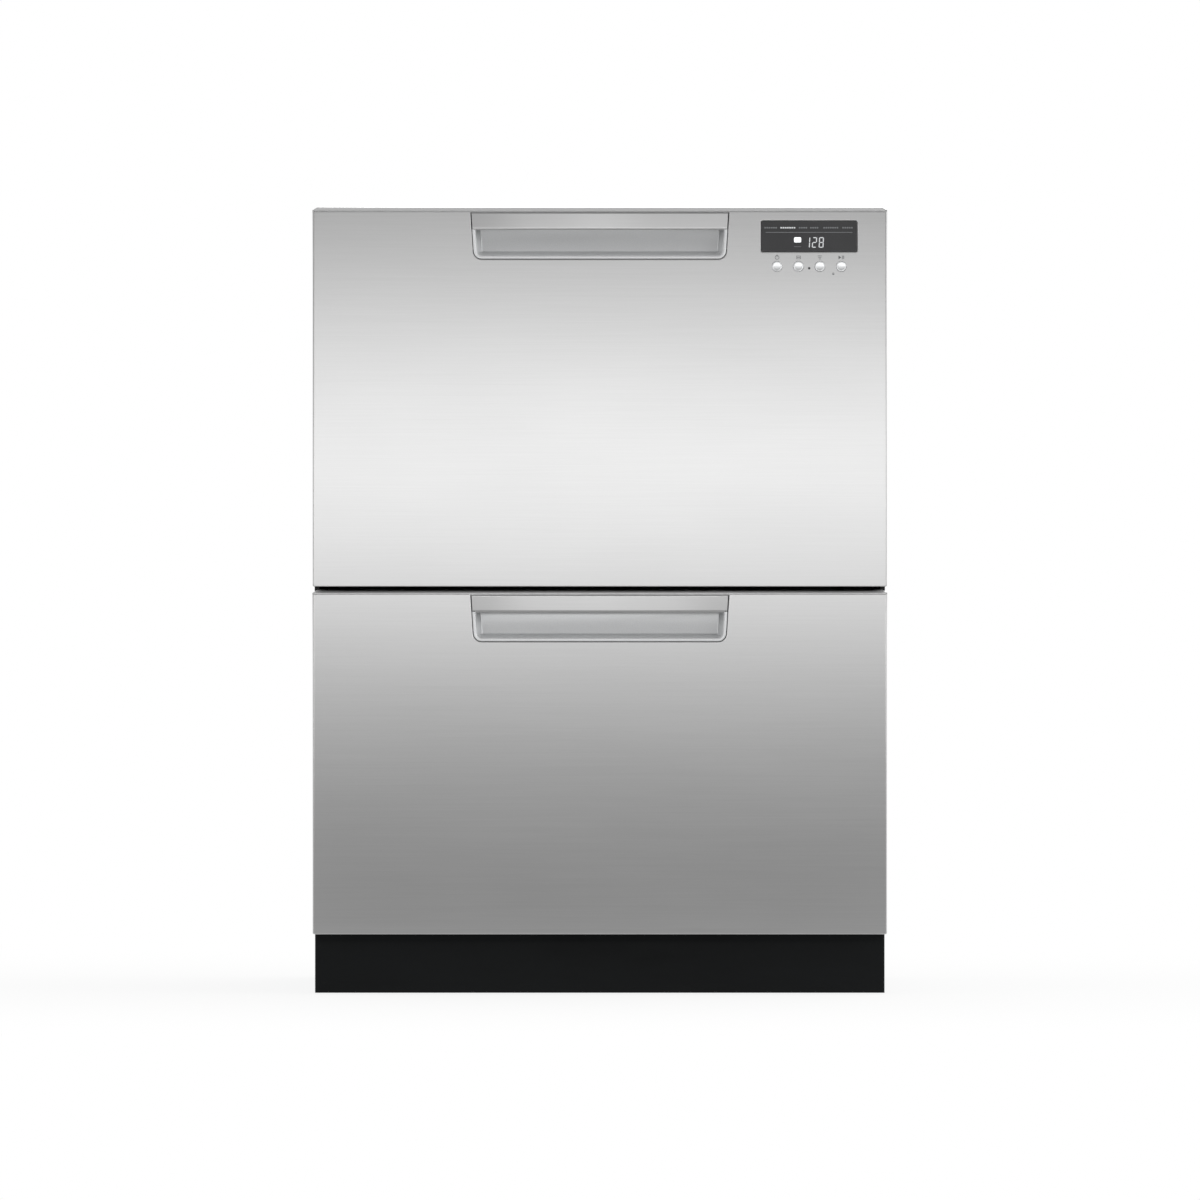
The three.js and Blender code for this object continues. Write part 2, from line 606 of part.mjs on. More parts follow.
function tub() {
  const lowHalf = tubHalfWidth - TUB_DRAFT;
  const lowBack = TUB_BACK - TUB_DRAFT;
  const cornerOut = TUB_CORNER + TUB_WALL;
  const rimBack = TUB_BACK + RIM_OVERHANG;
  const under = TUB_WALL + 0.8; // floor thickness
  const lowRing = (z, inset, tighter) => {
    const half = cavityHalfWidth - TUB_DRAFT - inset;
    const back = cavityBackY - TUB_DRAFT - inset;
    const radius = TUB_CORNER - tighter;
    return tubRing(z, half, cavityFrontY + inset, back, radius, radius);
  };
  const shell = loft([
    sumpRing(pitBottom - under, SUMP_PIT_RADIUS + TUB_WALL - 4),
    sumpRing(pitBottom - under + 3, SUMP_PIT_RADIUS + TUB_WALL),
    sumpRing(sumpTop - under, SUMP_RADIUS + TUB_WALL),
    tubRing(-TUB_DEPTH - under, lowHalf - 30, tubFrontY + 26, lowBack - 30, 24, cornerOut - 24),
    tubRing(-TUB_DEPTH + 10, lowHalf - 6, tubFrontY + 4, lowBack - 6, 12, cornerOut - 4),
    tubRing(-TUB_DEPTH + 34, lowHalf, tubFrontY, lowBack, 10, cornerOut),
    tubRing(-RIM_THICKNESS, tubHalfWidth, tubFrontY, TUB_BACK, 10, cornerOut),
    tubRing(-RIM_THICKNESS, rimHalfWidth, tubFrontY, rimBack, 6, cornerOut + 8),
    tubRing(-1.5, rimHalfWidth, tubFrontY, rimBack, 6, cornerOut + 8),
    tubRing(0, rimHalfWidth - 1.5, tubFrontY + 1.5, rimBack - 1.5, 6, cornerOut + 7),
    tubRing(0, cavityHalfWidth + 2, cavityFrontY - 2, cavityBackY + 2, TUB_CORNER, TUB_CORNER),
    tubRing(-3, cavityHalfWidth, cavityFrontY, cavityBackY, TUB_CORNER, TUB_CORNER),
    lowRing(-TUB_DEPTH + 34, 0, 0),
    lowRing(-TUB_DEPTH + 10, 7, 5),
    lowRing(-TUB_DEPTH, 30, 20),
    sumpRing(sumpTop, SUMP_RADIUS),
    sumpRing(filterBottom - SEAT, SUMP_RADIUS),
    sumpRing(filterBottom - SEAT, SUMP_PIT_RADIUS),
    sumpRing(pitBottom, SUMP_PIT_RADIUS),
  ]);
  // The deep front wall is hollow from below, on both sides of the dispenser.
  const hollowY = [tubFrontY + TUB_WALL, cavityFrontY - TUB_WALL];
  const hollowZ = [-TUB_DEPTH - 20, -TUB_WALL];
  const cupLeft = DISPENSER_X - DISPENSER_WIDTH / 2 - TUB_WALL;
  const cupRight = DISPENSER_X + DISPENSER_WIDTH / 2 + 2 * RINSE_CAP_RADIUS + 16;
  const hollows = [
    block([-tubHalfWidth + TUB_CORNER, cupLeft], hollowY, hollowZ),
    block([cupRight, tubHalfWidth - TUB_CORNER], hollowY, hollowZ),
  ];
  return cut(join(shell, ...sideRails(), ...rinseCap()), ...hollows, detergentCup());
}

// Ribbed ledges, open below, that carry the tub on its runners.
function sideRails() {
  const railFace = runnerInnerX - SEAT;
  const wallInside = tubHalfWidth - TUB_DRAFT - 0.5;
  const railY = [tubFrontY + 14, lowRailEnd()];
  const zMiddle = -RUNNER_DROP;
  const web = [railFace - 2.5, railFace];
  const right = [
    block([wallInside, railFace - 0.5], railY, about(zMiddle + RUNNER_HEIGHT / 2 - 5.5, 3)),
    block(web, railY, about(zMiddle, RUNNER_HEIGHT - 8)),
  ];
  const ribCount = 6;
  for (let i = 0; i < ribCount; i += 1) {
    const y = railY[0] + 2 + ((railY[1] - railY[0] - 4) * i) / (ribCount - 1);
    right.push(block([wallInside, railFace - 1], about(y, 3), about(zMiddle, RUNNER_HEIGHT - 9)));
  }
  return right.flatMap((piece) => [piece, mirrored(piece)]);
}

const lowRailEnd = () => TUB_BACK - TUB_DRAFT - TUB_CORNER;

function detergentCup() {
  const doorBottom = -DISPENSER_DROP - DISPENSER_HEIGHT;
  return block(
    about(DISPENSER_X, DISPENSER_WIDTH - 10),
    [cavityFrontY - DISPENSER_DEPTH, cavityFrontY + 1],
    [doorBottom + 6, -DISPENSER_DROP - 6],
  );
}

// The rinse-aid filler beside the detergent door: a ribbed round cap with a grip bar.
function rinseCap() {
  const x = DISPENSER_X + DISPENSER_WIDTH / 2 + RINSE_CAP_RADIUS + 10;
  const z = -DISPENSER_DROP - DISPENSER_HEIGHT / 2;
  const y = cavityFrontY - 1;
  return [
    rod("y", RINSE_CAP_RADIUS, [x, z], [y, y + 6], 16),
    block(about(x, 5), [y + 5, y + 11], about(z, 2 * RINSE_CAP_RADIUS - 6)),
  ];
}

function detergentDoor() {
  const bottom = -DISPENSER_DROP - DISPENSER_HEIGHT;
  const doorY = [cavityFrontY + SEAT, cavityFrontY + SEAT + DOOR_THICKNESS];
  const plate = prism(
    "y",
    roundedOutline(about(DISPENSER_X, DISPENSER_WIDTH), [bottom, -DISPENSER_DROP], 3, 8, 3),
    doorY,
  );
  const barrel = rod("x", 2.6, [doorY[0] + 2.6, bottom], about(DISPENSER_X, DISPENSER_WIDTH - 12), 10);
  const tab = block(about(DISPENSER_X, 18), [doorY[1] - 0.5, doorY[1] + 4], about(-DISPENSER_DROP - 7, 3));
  return join(plate, barrel, tab);
}

// ---------------------------------------------------------------- wash system
function washMotor() {
  const top = pitBottom - TUB_WALL - 0.8 - SEAT;
  const profile = [
    [0, top],
    [0, top - MOTOR_HEIGHT],
    [24, top - MOTOR_HEIGHT],
    [26, top - MOTOR_HEIGHT + 4],
    [MOTOR_RADIUS - 8, top - MOTOR_HEIGHT + 5],
    [MOTOR_RADIUS, top - MOTOR_HEIGHT + 10],
    [MOTOR_RADIUS, top - 3],
    [MOTOR_RADIUS - 3, top],
  ];
  const points = profile.map(([r, z]) => new THREE.Vector2(r, z)).concat(new THREE.Vector2(0, top));
  const turned = new THREE.LatheGeometry(points, 24).rotateX(Math.PI / 2);
  turned.translate(0, sumpY, 0);
  return solidOf(turned);
}

// A slotted stainless disc over the pump pit, with the spray arm's pin in the middle.
function filterPlate() {
  const radius = SUMP_RADIUS - SEAT;
  const shape = new THREE.Shape();
  shape.absarc(0, 0, radius, 0, 2 * Math.PI);
  const rows = [
    { at: 38, count: 8 },
    { at: 66, count: 14 },
  ];
  for (const { at, count } of rows) {
    for (let i = 0; i < count; i += 1) {
      const angle = ((i + 0.5) / count) * 2 * Math.PI;
      const slot = new THREE.Path();
      const corners = [
        [-10, -2],
        [10, -2],
        [10, 2],
        [-10, 2],
      ].map(([u, v]) => new THREE.Vector2(at + u, v).rotateAround(new THREE.Vector2(), angle));
      slot.setFromPoints([...corners, corners[0]]);
      shape.holes.push(slot);
    }
  }
  const geometry = new THREE.ExtrudeGeometry(shape, {
    depth: FILTER_THICKNESS,
    bevelEnabled: false,
    curveSegments: 2 * RING_STEPS,
  });
  geometry.translate(0, sumpY, filterBottom);
  const plate = solidOf(geometry);
  const centre = [0, sumpY];
  const boss = rod("z", ARM_HUB_RADIUS + 3, centre, [filterTop - 1, armBottom - SEAT], 20, ARM_HUB_RADIUS);
  const pin = rod("z", ARM_PIN_RADIUS, centre, [filterTop, armBottom + ARM_THICKNESS + 5], 16);
  return join(plate, boss, pin);
}

// Two tapered blades on a bored hub, each with a row of spray holes and a turned-up tip.
function sprayArm() {
  const middle = armBottom + ARM_THICKNESS / 2 + 1;
  const blade = (direction) => {
    const stations = [
      { reach: 0, chord: 30, thick: ARM_THICKNESS },
      { reach: 0.35, chord: 34, thick: ARM_THICKNESS },
      { reach: 0.8, chord: 27, thick: ARM_THICKNESS - 2 },
      { reach: 0.95, chord: 20, thick: ARM_THICKNESS - 4 },
      { reach: 1, chord: 8, thick: 3 },
    ];
    return loft(
      stations.map(({ reach, chord, thick }) =>
        Array.from({ length: BLADE_SIDES }, (_, k) => {
          const angle = (k / BLADE_SIDES) * 2 * Math.PI;
          const y = sumpY + (chord / 2) * Math.cos(angle);
          const z = middle + (thick / 2) * Math.sin(angle);
          return new THREE.Vector3(direction * ARM_REACH * reach, y, z);
        }),
      ),
    );
  };
  const centre = [0, sumpY];
  const hub = rod("z", ARM_HUB_RADIUS, centre, [armBottom, armBottom + ARM_THICKNESS + 4], 20);
  const bore = rod("z", ARM_PIN_RADIUS + ARM_PLAY, centre, [armBottom - 5, armBottom + 40], 16);
  const jets = [-1, 1].flatMap((direction) =>
    [0.3, 0.55, 0.8].map((share, i) => {
      const place = [direction * ARM_REACH * share, sumpY + direction * (i - 1) * 5];
      return rod("z", JET_RADIUS, place, [middle, middle + ARM_THICKNESS], 6);
    }),
  );
  return cut(join(hub, blade(-1), blade(1)), bore, ...jets);
}

// ---------------------------------------------------------------- racks
// The wires that run across at one height and bend up to the top rail at both ends.
const rackCrossY = () => {
  const count = 5;
  const span = rackBackY - rackFrontY;
  return Array.from({ length: count }, (_, i) => rackFrontY + span * (0.14 + (0.72 * i) / (count - 1)));
};

function dishRack() {
  const railOutline = (grow, z) =>
    roundedOutline(
      [-rackHalfWidth - grow, rackHalfWidth + grow],
      [rackFrontY - grow, rackBackY + grow],
      24,
      24,
      2,
    ).map(([x, y]) => [x, y, z]);
  const pieces = [
    wire(railOutline(0, rackTop), RACK_WIRE, [0, 0, 1], true),
    wire(railOutline(-4, rackFloor), RACK_WIRE, [0, 0, 1], true),
  ];
  const sideX = rackHalfWidth;
  const crossStep = RACK_WIRE * 1.6;
  for (const y of rackCrossY()) {
    const path = [
      [-sideX, y, rackTop],
      [-sideX + 4, y, rackFloor + 6],
      [-sideX + 10, y, rackFloor],
      [sideX - 10, y, rackFloor],
      [sideX - 4, y, rackFloor + 6],
      [sideX, y, rackTop],
    ];
    pieces.push(wire(path, RACK_WIRE, [0, 1, 0]));
  }
  const longCount = 4;
  for (let i = 0; i < longCount; i += 1) {
    const x = sideX * 1.56 * (i / (longCount - 1) - 0.5);
    const path = [
      [x, rackFrontY, rackTop],
      [x, rackFrontY + 4, rackFloor + 4],
      [x, rackFrontY + 10, rackFloor - crossStep],
      [x, rackBackY - 10, rackFloor - crossStep],
      [x, rackBackY - 4, rackFloor + 4],
      [x, rackBackY, rackTop],
    ];
    pieces.push(wire(path, RACK_WIRE, [1, 0, 0]));
  }
  pieces.push(...rackLegs(rackCrossY()), ...cupRackEyes());
  return join(...pieces);
}

// Rows of plate tines, leaning back a little, on two wires that lie on the rack's cross wires.
function plateInsert() {
  const left = -rackHalfWidth + 52;
  const right = basketX()[0] - 24;
  const count = Math.floor((right - left) / TINE_PITCH) + 1;
  const tineX = Array.from({ length: count }, (_, i) => left + i * TINE_PITCH);
  const railZ = rackFloor + RACK_WIRE + SEAT + TINE_RADIUS;
  const rowZ = railZ + TINE_RADIUS * 1.4;
  const [front, ...rest] = rackCrossY();
  const back = rest[rest.length - 1];
  const rowStep = (back - front - 52) / (TINE_ROWS - 1);
  const rowY = Array.from({ length: TINE_ROWS }, (_, i) => front + 18 + i * rowStep);
  const pieces = [];
  for (const x of [(tineX[0] + tineX[1]) / 2, (tineX[count - 2] + tineX[count - 1]) / 2]) {
    pieces.push(wire([[x, front - 6, railZ], [x, back + 6, railZ]], TINE_RADIUS, [1, 0, 0]));
  }
  for (const y of rowY) {
    pieces.push(wire([[left - 8, y, rowZ], [tineX[count - 1] + 8, y, rowZ]], TINE_RADIUS, [0, 1, 0]));
    for (const x of tineX) {
      const tip = [x, y + TINE_HEIGHT * 0.2, rowZ + TINE_HEIGHT];
      pieces.push(wire([[x, y, rowZ], tip], TINE_RADIUS, [1, 0, 0]));
    }
  }
  return join(...pieces);
}

// Short legs that stand on the tub's floor outside the spray arm's circle.
function rackLegs(crossY) {
  const legs = [];
  const x = rackHalfWidth - 34;
  const foot = -TUB_DEPTH + SEAT;
  for (const y of [crossY[0], crossY[crossY.length - 1]]) {
    for (const side of [-1, 1]) {
      legs.push(rod("z", 3, [side * x, y], [foot, rackFloor], 6));
    }
  }
  return legs;
}

const cupPivotX = () => -rackHalfWidth + 6;

// Square eyes on the rack's left side that hold the cup rack's hinge wire.
function cupRackEyes() {
  const x = cupPivotX();
  const z = -CUP_RACK_DROP;
  const inside = CUP_WIRE * Math.SQRT2 + EYE_PLAY;
  const outside = inside + 2.5;
  return [-1, 1].map((end) => {
    const y = about(sumpY + end * (CUP_RACK_LENGTH / 2 - 30), 5);
    const eye = block(about(x, 2 * outside), y, [rackTop - 2, z + outside]);
    const reach = block([-rackHalfWidth - 1.5, x], y, [rackTop - 2, rackTop + 2]);
    return cut(join(eye, reach), block(about(x, 2 * inside), [y[0] - 1, y[1] + 1], about(z, 2 * inside)));
  });
}

// The fold-up shelf for cups over the left side of the rack.
function cupRack() {
  const z = -CUP_RACK_DROP;
  const x = cupPivotX();
  const y = about(sumpY, CUP_RACK_LENGTH);
  const far = x + CUP_RACK_WIDTH;
  const frame = [
    [x, y[0], z],
    [far, y[0], z],
    [far, y[1], z],
    [x, y[1], z],
  ];
  const pieces = [wire(frame, CUP_WIRE, [0, 0, 1], true)];
  const barCount = 5;
  for (let i = 1; i <= barCount; i += 1) {
    const bar = y[0] + ((y[1] - y[0]) * i) / (barCount + 1);
    const path = [
      [x, bar, z],
      [x + CUP_RACK_WIDTH * 0.45, bar, z - 5],
      [far, bar, z],
    ];
    pieces.push(wire(path, CUP_WIRE - 0.3, [0, 1, 0]));
  }
  return join(...pieces);
}

const basketX = () => [rackHalfWidth - 14 - BASKET_WIDTH, rackHalfWidth - 14];

// A long open basket with slotted walls, on the right of the rack.
function cutleryBasket() {
  const x = basketX();
  const y = about(sumpY, BASKET_LENGTH);
  const floor = rackFloor + RACK_WIRE + SEAT;
  const top = floor + BASKET_HEIGHT;
  const taper = 3;
  const ringAt = (z, inset) =>
    roundedOutline([x[0] + inset, x[1] - inset], [y[0] + inset, y[1] - inset], 8, 8, 2).map(
      ([u, v]) => new THREE.Vector3(u, v, z),
    );
  let basket = loft([
    ringAt(floor, taper),
    ringAt(top - 6, 0.6),
    ringAt(top - 6, -1.4),
    ringAt(top, -1.4),
    ringAt(top, BASKET_WALL),
    ringAt(floor + BASKET_WALL, taper + BASKET_WALL),
  ]);
  const slotCount = 9;
  for (let i = 0; i < slotCount; i += 1) {
    const slotY = about(y[0] + ((i + 0.5) * BASKET_LENGTH) / slotCount, BASKET_SLOT);
    basket = basket.subtract(block([x[0] - 4, x[1] + 4], slotY, [floor + 14, top - 24]));
  }
  const inside = [x[0] + 3, x[1] - 3];
  const dividers = [-1, 1].map((end) =>
    block(inside, about(sumpY + (end * BASKET_LENGTH) / 6, BASKET_WALL), [floor + 1, top - 14]),
  );
  return join(basket, ...dividers);
}

// ---------------------------------------------------------------- runners
// A channel lying on its side: web at one depth, flanges to another, in (x, z).
function channel([web0, web1], flangeEnd, halfHeight, flangeThickness) {
  return [
    [web0, -halfHeight],
    [web0, halfHeight],
    [flangeEnd, halfHeight],
    [flangeEnd, halfHeight - flangeThickness],
    [web1, halfHeight - flangeThickness],
    [web1, -halfHeight + flangeThickness],
    [flangeEnd, -halfHeight + flangeThickness],
    [flangeEnd, -halfHeight],
  ];
}

const runnerSpan = [runnerStartY, runnerStartY + RUNNER_LENGTH];

function atRunner(outline) {
  return outline.map(([x, z]) => [x, z - RUNNER_DROP]);
}

// The right-hand outer member with the pads that stand it off the side panel.
function runnerOuter(rimZ) {
  const half = RUNNER_HEIGHT / 2;
  const webInner = runnerOuterX - RUNNER_SHEET;
  const lip = runnerInnerX + 1;
  const z = rimZ - RUNNER_DROP;
  const raised = (outline) => outline.map(([x, dz]) => [x, z + dz]);
  const body = prism("y", raised(channel([runnerOuterX, webInner], lip, half, RUNNER_SHEET)), runnerSpan);
  const lipDrop = RUNNER_SHEET + 1.6;
  const lips = [1, -1].map((way) => {
    const ends = [z + way * half, z + way * (half - lipDrop)].sort((a, b) => a - b);
    return block([lip, lip + RUNNER_SHEET], runnerSpan, ends);
  });
  const pads = [0.08, 0.5, 0.92].map((share) => {
    const y = about(runnerSpan[0] + RUNNER_LENGTH * share, PAD_LENGTH);
    return block([runnerOuterX - 0.5, sideInner + 0.2], y, about(z, PAD_HEIGHT));
  });
  return join(body, ...lips, ...pads);
}

function runnerMiddle() {
  const half = RUNNER_HEIGHT / 2 - RUNNER_SHEET - RUNNER_PLAY;
  const webOuter = runnerOuterX - RUNNER_SHEET - RUNNER_PLAY;
  const flangeEnd = runnerInnerX + 1 + RUNNER_SHEET + RUNNER_PLAY;
  const outline = channel([webOuter, webOuter - RUNNER_SHEET], flangeEnd, half, RUNNER_RACE);
  return prism("y", atRunner(outline), runnerSpan);
}

function runnerInner() {
  const half = RUNNER_HEIGHT / 2 - RUNNER_SHEET - RUNNER_RACE - 2 * RUNNER_PLAY;
  const flangeEnd = runnerOuterX - 2 * RUNNER_SHEET - 2 * RUNNER_PLAY;
  const outline = channel([runnerInnerX, runnerInnerX + RUNNER_SHEET], flangeEnd, half, RUNNER_SHEET);
  const slots = [0.12, 0.36, 0.6].map((share) =>
    block(
      [runnerInnerX - 1, runnerInnerX + RUNNER_SHEET + 1],
      about(runnerSpan[0] + RUNNER_LENGTH * share, 14),
      about(-RUNNER_DROP, 5),
    ),
  );
  return cut(prism("y", atRunner(outline), runnerSpan), ...slots);
}

// ---------------------------------------------------------------- lid
const lidFrontY = chassisFrontY + 5;
const lidBackY = TUB_BACK + RIM_OVERHANG - 2;
const lidHalf = rimHalfWidth - 1;

function lid() {
  const plateTop = lidBottom + LID_PLATE;
  const rimTop = plateTop + LID_RIM;
  const outline = (grow, z) =>
    roundedOutline([-lidHalf - grow, lidHalf + grow], [lidFrontY - grow, lidBackY + grow], 8, 40, 4).map(
      ([x, y]) => new THREE.Vector3(x, y, z),
    );
  const tray = loft([
    outline(0, lidBottom),
    outline(0, rimTop),
    outline(-LID_RIB, rimTop),
    outline(-LID_RIB, plateTop),
  ]);
  const ribY = [lidFrontY + LID_RIB - 0.8, lidBackY - LID_RIB + 0.8];
  const ribs = [-0.5, 0, 0.5].map((share) =>
    block(about(2 * lidHalf * share * 0.6, LID_RIB), ribY, [plateTop - 0.5, rimTop - 4]),
  );
  const earX = [lidHalf - 1, actuatorX()[1] - 2];
  const earTop = lidBottom + LID_EAR_THICKNESS;
  const ear = join(
    block(earX, about(ACTUATOR_Y, LID_EAR), [lidBottom, earTop]),
    rod("z", LID_PIN_RADIUS, [pinX(), ACTUATOR_Y], [earTop - 1, earTop + LID_PIN_LENGTH], 12),
  );
  return join(tray, ...ribs, ear, mirrored(ear));
}

const actuatorX = () => [sideInner - SEAT - ACTUATOR_DEPTH, sideInner - SEAT];
const pinX = () => (actuatorX()[0] + actuatorX()[1]) / 2;

function lidSeal() {
  const inset = 2.5;
  const outline = (grow, z) =>
    roundedOutline([-lidHalf - grow, lidHalf + grow], [lidFrontY - grow, lidBackY + grow], 8, 40, 4).map(
      ([x, y]) => new THREE.Vector3(x, y, z),
    );
  const bulge = 1.2;
  return loft(
    [
      outline(-inset - bulge, SEAT),
      outline(-inset, SEAT + LID_SEAL_HEIGHT * 0.45),
      outline(-inset, lidSealTop),
      outline(-inset - LID_SEAL_WIDTH, lidSealTop),
      outline(-inset - LID_SEAL_WIDTH, SEAT + LID_SEAL_HEIGHT * 0.45),
      outline(-inset - LID_SEAL_WIDTH + bulge, SEAT),
    ],
    true,
  );
}

// The geared drive on the chassis side, over the lid's ear, that draws the lid's pin up.
function lidActuator() {
  const x = actuatorX();
  const bottom = lidBottom + LID_EAR_THICKNESS + LID_TRAVEL + SEAT;
  const z = [bottom, bottom + ACTUATOR_HEIGHT];
  const outline = roundedOutline(about(ACTUATOR_Y, ACTUATOR_LENGTH), z, 4, 4, 2);
  const housing = prism("x", outline, x);
  const end = ACTUATOR_Y + ACTUATOR_LENGTH / 2;
  const motor = rod("y", 6, [pinX(), bottom + ACTUATOR_HEIGHT / 2], [end - 2, end + 28], 14);
  const ears = block([x[1] - 3, x[1]], about(ACTUATOR_Y, ACTUATOR_LENGTH + 24), [z[0] + 4, z[1] - 4]);
  const bore = rod("z", LID_PIN_RADIUS + LID_PIN_PLAY, [pinX(), ACTUATOR_Y], [z[0] - 2, z[1] - 3], 12);
  return cut(join(housing, motor, ears), bore);
}

// ---------------------------------------------------------------- chassis
function sidePanel(rims) {
  const z = [CHASSIS_CLEARANCE, chassisTop];
  const notchY = kickBackY + SEAT;
  const notchZ = KICK_HEIGHT;
  const outline = [
    [notchY, z[0]],
    [backY, z[0]],
    [backY, z[1]],
    [chassisFrontY, z[1]],
    [chassisFrontY, notchZ],
    [notchY, notchZ],
  ];
  const web = prism("x", outline, [sideInner, sideOuter]);
  const frontReturn = block(
    [sideOuter - SIDE_FLANGE, sideInner + 0.2],
    [chassisFrontY, chassisFrontY + CHASSIS_SHEET],
    [notchZ, z[1]],
  );
  const rearReturn = block(
    [sideOuter - REAR_FLANGE, sideInner + 0.2],
    [backPanelY - SEAT - CHASSIS_SHEET, backPanelY - SEAT],
    z,
  );
  const outerMembers = rims.map((rimZ) => runnerOuter(rimZ));
  return join(web, frontReturn, rearReturn, ...outerMembers);
}

function topPanel() {
  const half = sideInner - SEAT;
  const y = [chassisFrontY, backPanelY - SEAT - CHASSIS_SHEET - SEAT];
  const sheet = [chassisTop - CHASSIS_SHEET, chassisTop];
  const edgeZ = [chassisTop - TOP_FLANGE, chassisTop];
  const front = block([-half + SIDE_FLANGE, half - SIDE_FLANGE], [y[0], y[0] + CHASSIS_SHEET], edgeZ);
  const rear = block([-half + REAR_FLANGE, half - REAR_FLANGE], [y[1] - CHASSIS_SHEET, y[1]], edgeZ);
  const plate = block([-half, half], [y[0] + CHASSIS_SHEET + SEAT, y[1]], sheet);
  const lead = block([-half + SIDE_FLANGE, half - SIDE_FLANGE], [y[0], y[0] + 4], sheet);
  const beads = [-1, 1].map((side) => {
    const x = about((side * half) / 2, 60);
    return block(x, [y[0] + 40, y[1] - 40], [chassisTop - BACK_BEAD, chassisTop - 0.5]);
  });
  return join(plate, lead, front, rear, ...beads);
}

function backPanel() {
  const half = sideOuter;
  const z = [CHASSIS_CLEARANCE, chassisTop];
  const y = [backPanelY, backPanelY + CHASSIS_SHEET];
  let panel = block([-half + CHASSIS_SHEET + SEAT, half - CHASSIS_SHEET - SEAT], y, z);
  const beadCount = 4;
  for (let i = 0; i < beadCount; i += 1) {
    const middle = chassisTop - BEAD_DROP - (beadCount - 1 - i) * BEAD_PITCH;
    const profile = [
      [y[0], middle - 17],
      [y[0], middle + 17],
      [y[1], middle + 17],
      [backY, middle + 11],
      [backY, middle - 11],
      [y[1], middle - 17],
    ];
    const bead = prism("x", profile, about(0, 2 * (half - BEAD_MARGIN)));
    const hollow = prism(
      "x",
      profile.map(([v, w]) => [v - CHASSIS_SHEET, middle + (w - middle) * 0.95]),
      about(0, 2 * (half - BEAD_MARGIN - 2)),
    );
    panel = panel.add(bead).subtract(hollow);
  }
  const through = [y[0] - 1, backY + 1];
  const holes = fittings().map(({ x, radius }) => rod("y", radius, [x, fittingZ], through, 16));
  return cut(panel, ...holes);
}

// Where each connection passes through the back panel, and its hole.
const fittings = () => [
  { x: -sideOuter + INLET_INSET, radius: INLET_RADIUS + SEAT },
  { x: sideOuter - DRAIN_INSET, radius: DRAIN_RADIUS + SEAT },
  { x: sideOuter - POWER_INSET, radius: POWER_RADIUS + SEAT },
];

// A bushing flanged inside the panel, with a stub that the hose or lead goes on.
function fitting(x, profile) {
  const turned = new THREE.LatheGeometry(profile.map(([r, y]) => new THREE.Vector2(r, y)), 16);
  turned.translate(x, backPanelY, fittingZ);
  return solidOf(turned);
}

function waterInlet() {
  const end = BACK_BEAD + CHASSIS_SHEET;
  return fitting(-sideOuter + INLET_INSET, [
    [5, -FITTING_LENGTH],
    [INLET_RADIUS + 4, -FITTING_LENGTH],
    [INLET_RADIUS + 4, -SEAT],
    [INLET_RADIUS, -SEAT],
    [INLET_RADIUS, end],
    [8.5, end],
    [8.5, -FITTING_LENGTH + 4],
    [5, -FITTING_LENGTH],
  ]);
}

function drainOutlet() {
  const end = BACK_BEAD + CHASSIS_SHEET;
  return fitting(sideOuter - DRAIN_INSET, [
    [4, -FITTING_LENGTH],
    [DRAIN_RADIUS + 4, -FITTING_LENGTH],
    [DRAIN_RADIUS + 4, -SEAT],
    [DRAIN_RADIUS, -SEAT],
    [DRAIN_RADIUS, end],
    [7, end],
    [7, -FITTING_LENGTH + 3],
    [4, -FITTING_LENGTH],
  ]);
}

function powerInlet() {
  const end = BACK_BEAD + CHASSIS_SHEET;
  return fitting(sideOuter - POWER_INSET, [
    [4.5, -FITTING_LENGTH + 5],
    [POWER_RADIUS + 4, -FITTING_LENGTH + 5],
    [POWER_RADIUS + 4, -SEAT],
    [POWER_RADIUS, -SEAT],
    [POWER_RADIUS, end - 1.5],
    [POWER_RADIUS - 2, end],
    [4.5, end],
    [4.5, -FITTING_LENGTH + 5],
  ]);
}

// The moulded plate inside the back panel that carries the three connections.
function servicePlate() {
  const [inlet, drain, power] = fittings();
  const x = [inlet.x - SERVICE_MARGIN, power.x + SERVICE_MARGIN];
  const outline = roundedOutline(x, about(fittingZ, 2 * SERVICE_MARGIN), 6, 6, 2);
  const plate = prism("y", outline, [backPanelY - SEAT - SERVICE_THICKNESS, backPanelY - SEAT]);
  const holes = [inlet, drain, power].map((each) =>
    rod("y", each.radius - 2, [each.x, fittingZ], [backPanelY - 20, backPanelY + 1], 16),
  );
  return join(cut(plate, ...holes), waterInlet(), drainOutlet(), powerInlet());
}

const footPlaces = [
  { name: "foot_front_left", x: -1, y: chassisFrontY + FOOT_FRONT_INSET },
  { name: "foot_front_right", x: 1, y: chassisFrontY + FOOT_FRONT_INSET },
  { name: "foot_rear_left", x: -1, y: backY - FOOT_REAR_INSET },
  { name: "foot_rear_right", x: 1, y: backY - FOOT_REAR_INSET },
].map((foot) => ({ ...foot, x: foot.x * (sideOuter - FOOT_SIDE_INSET) }));

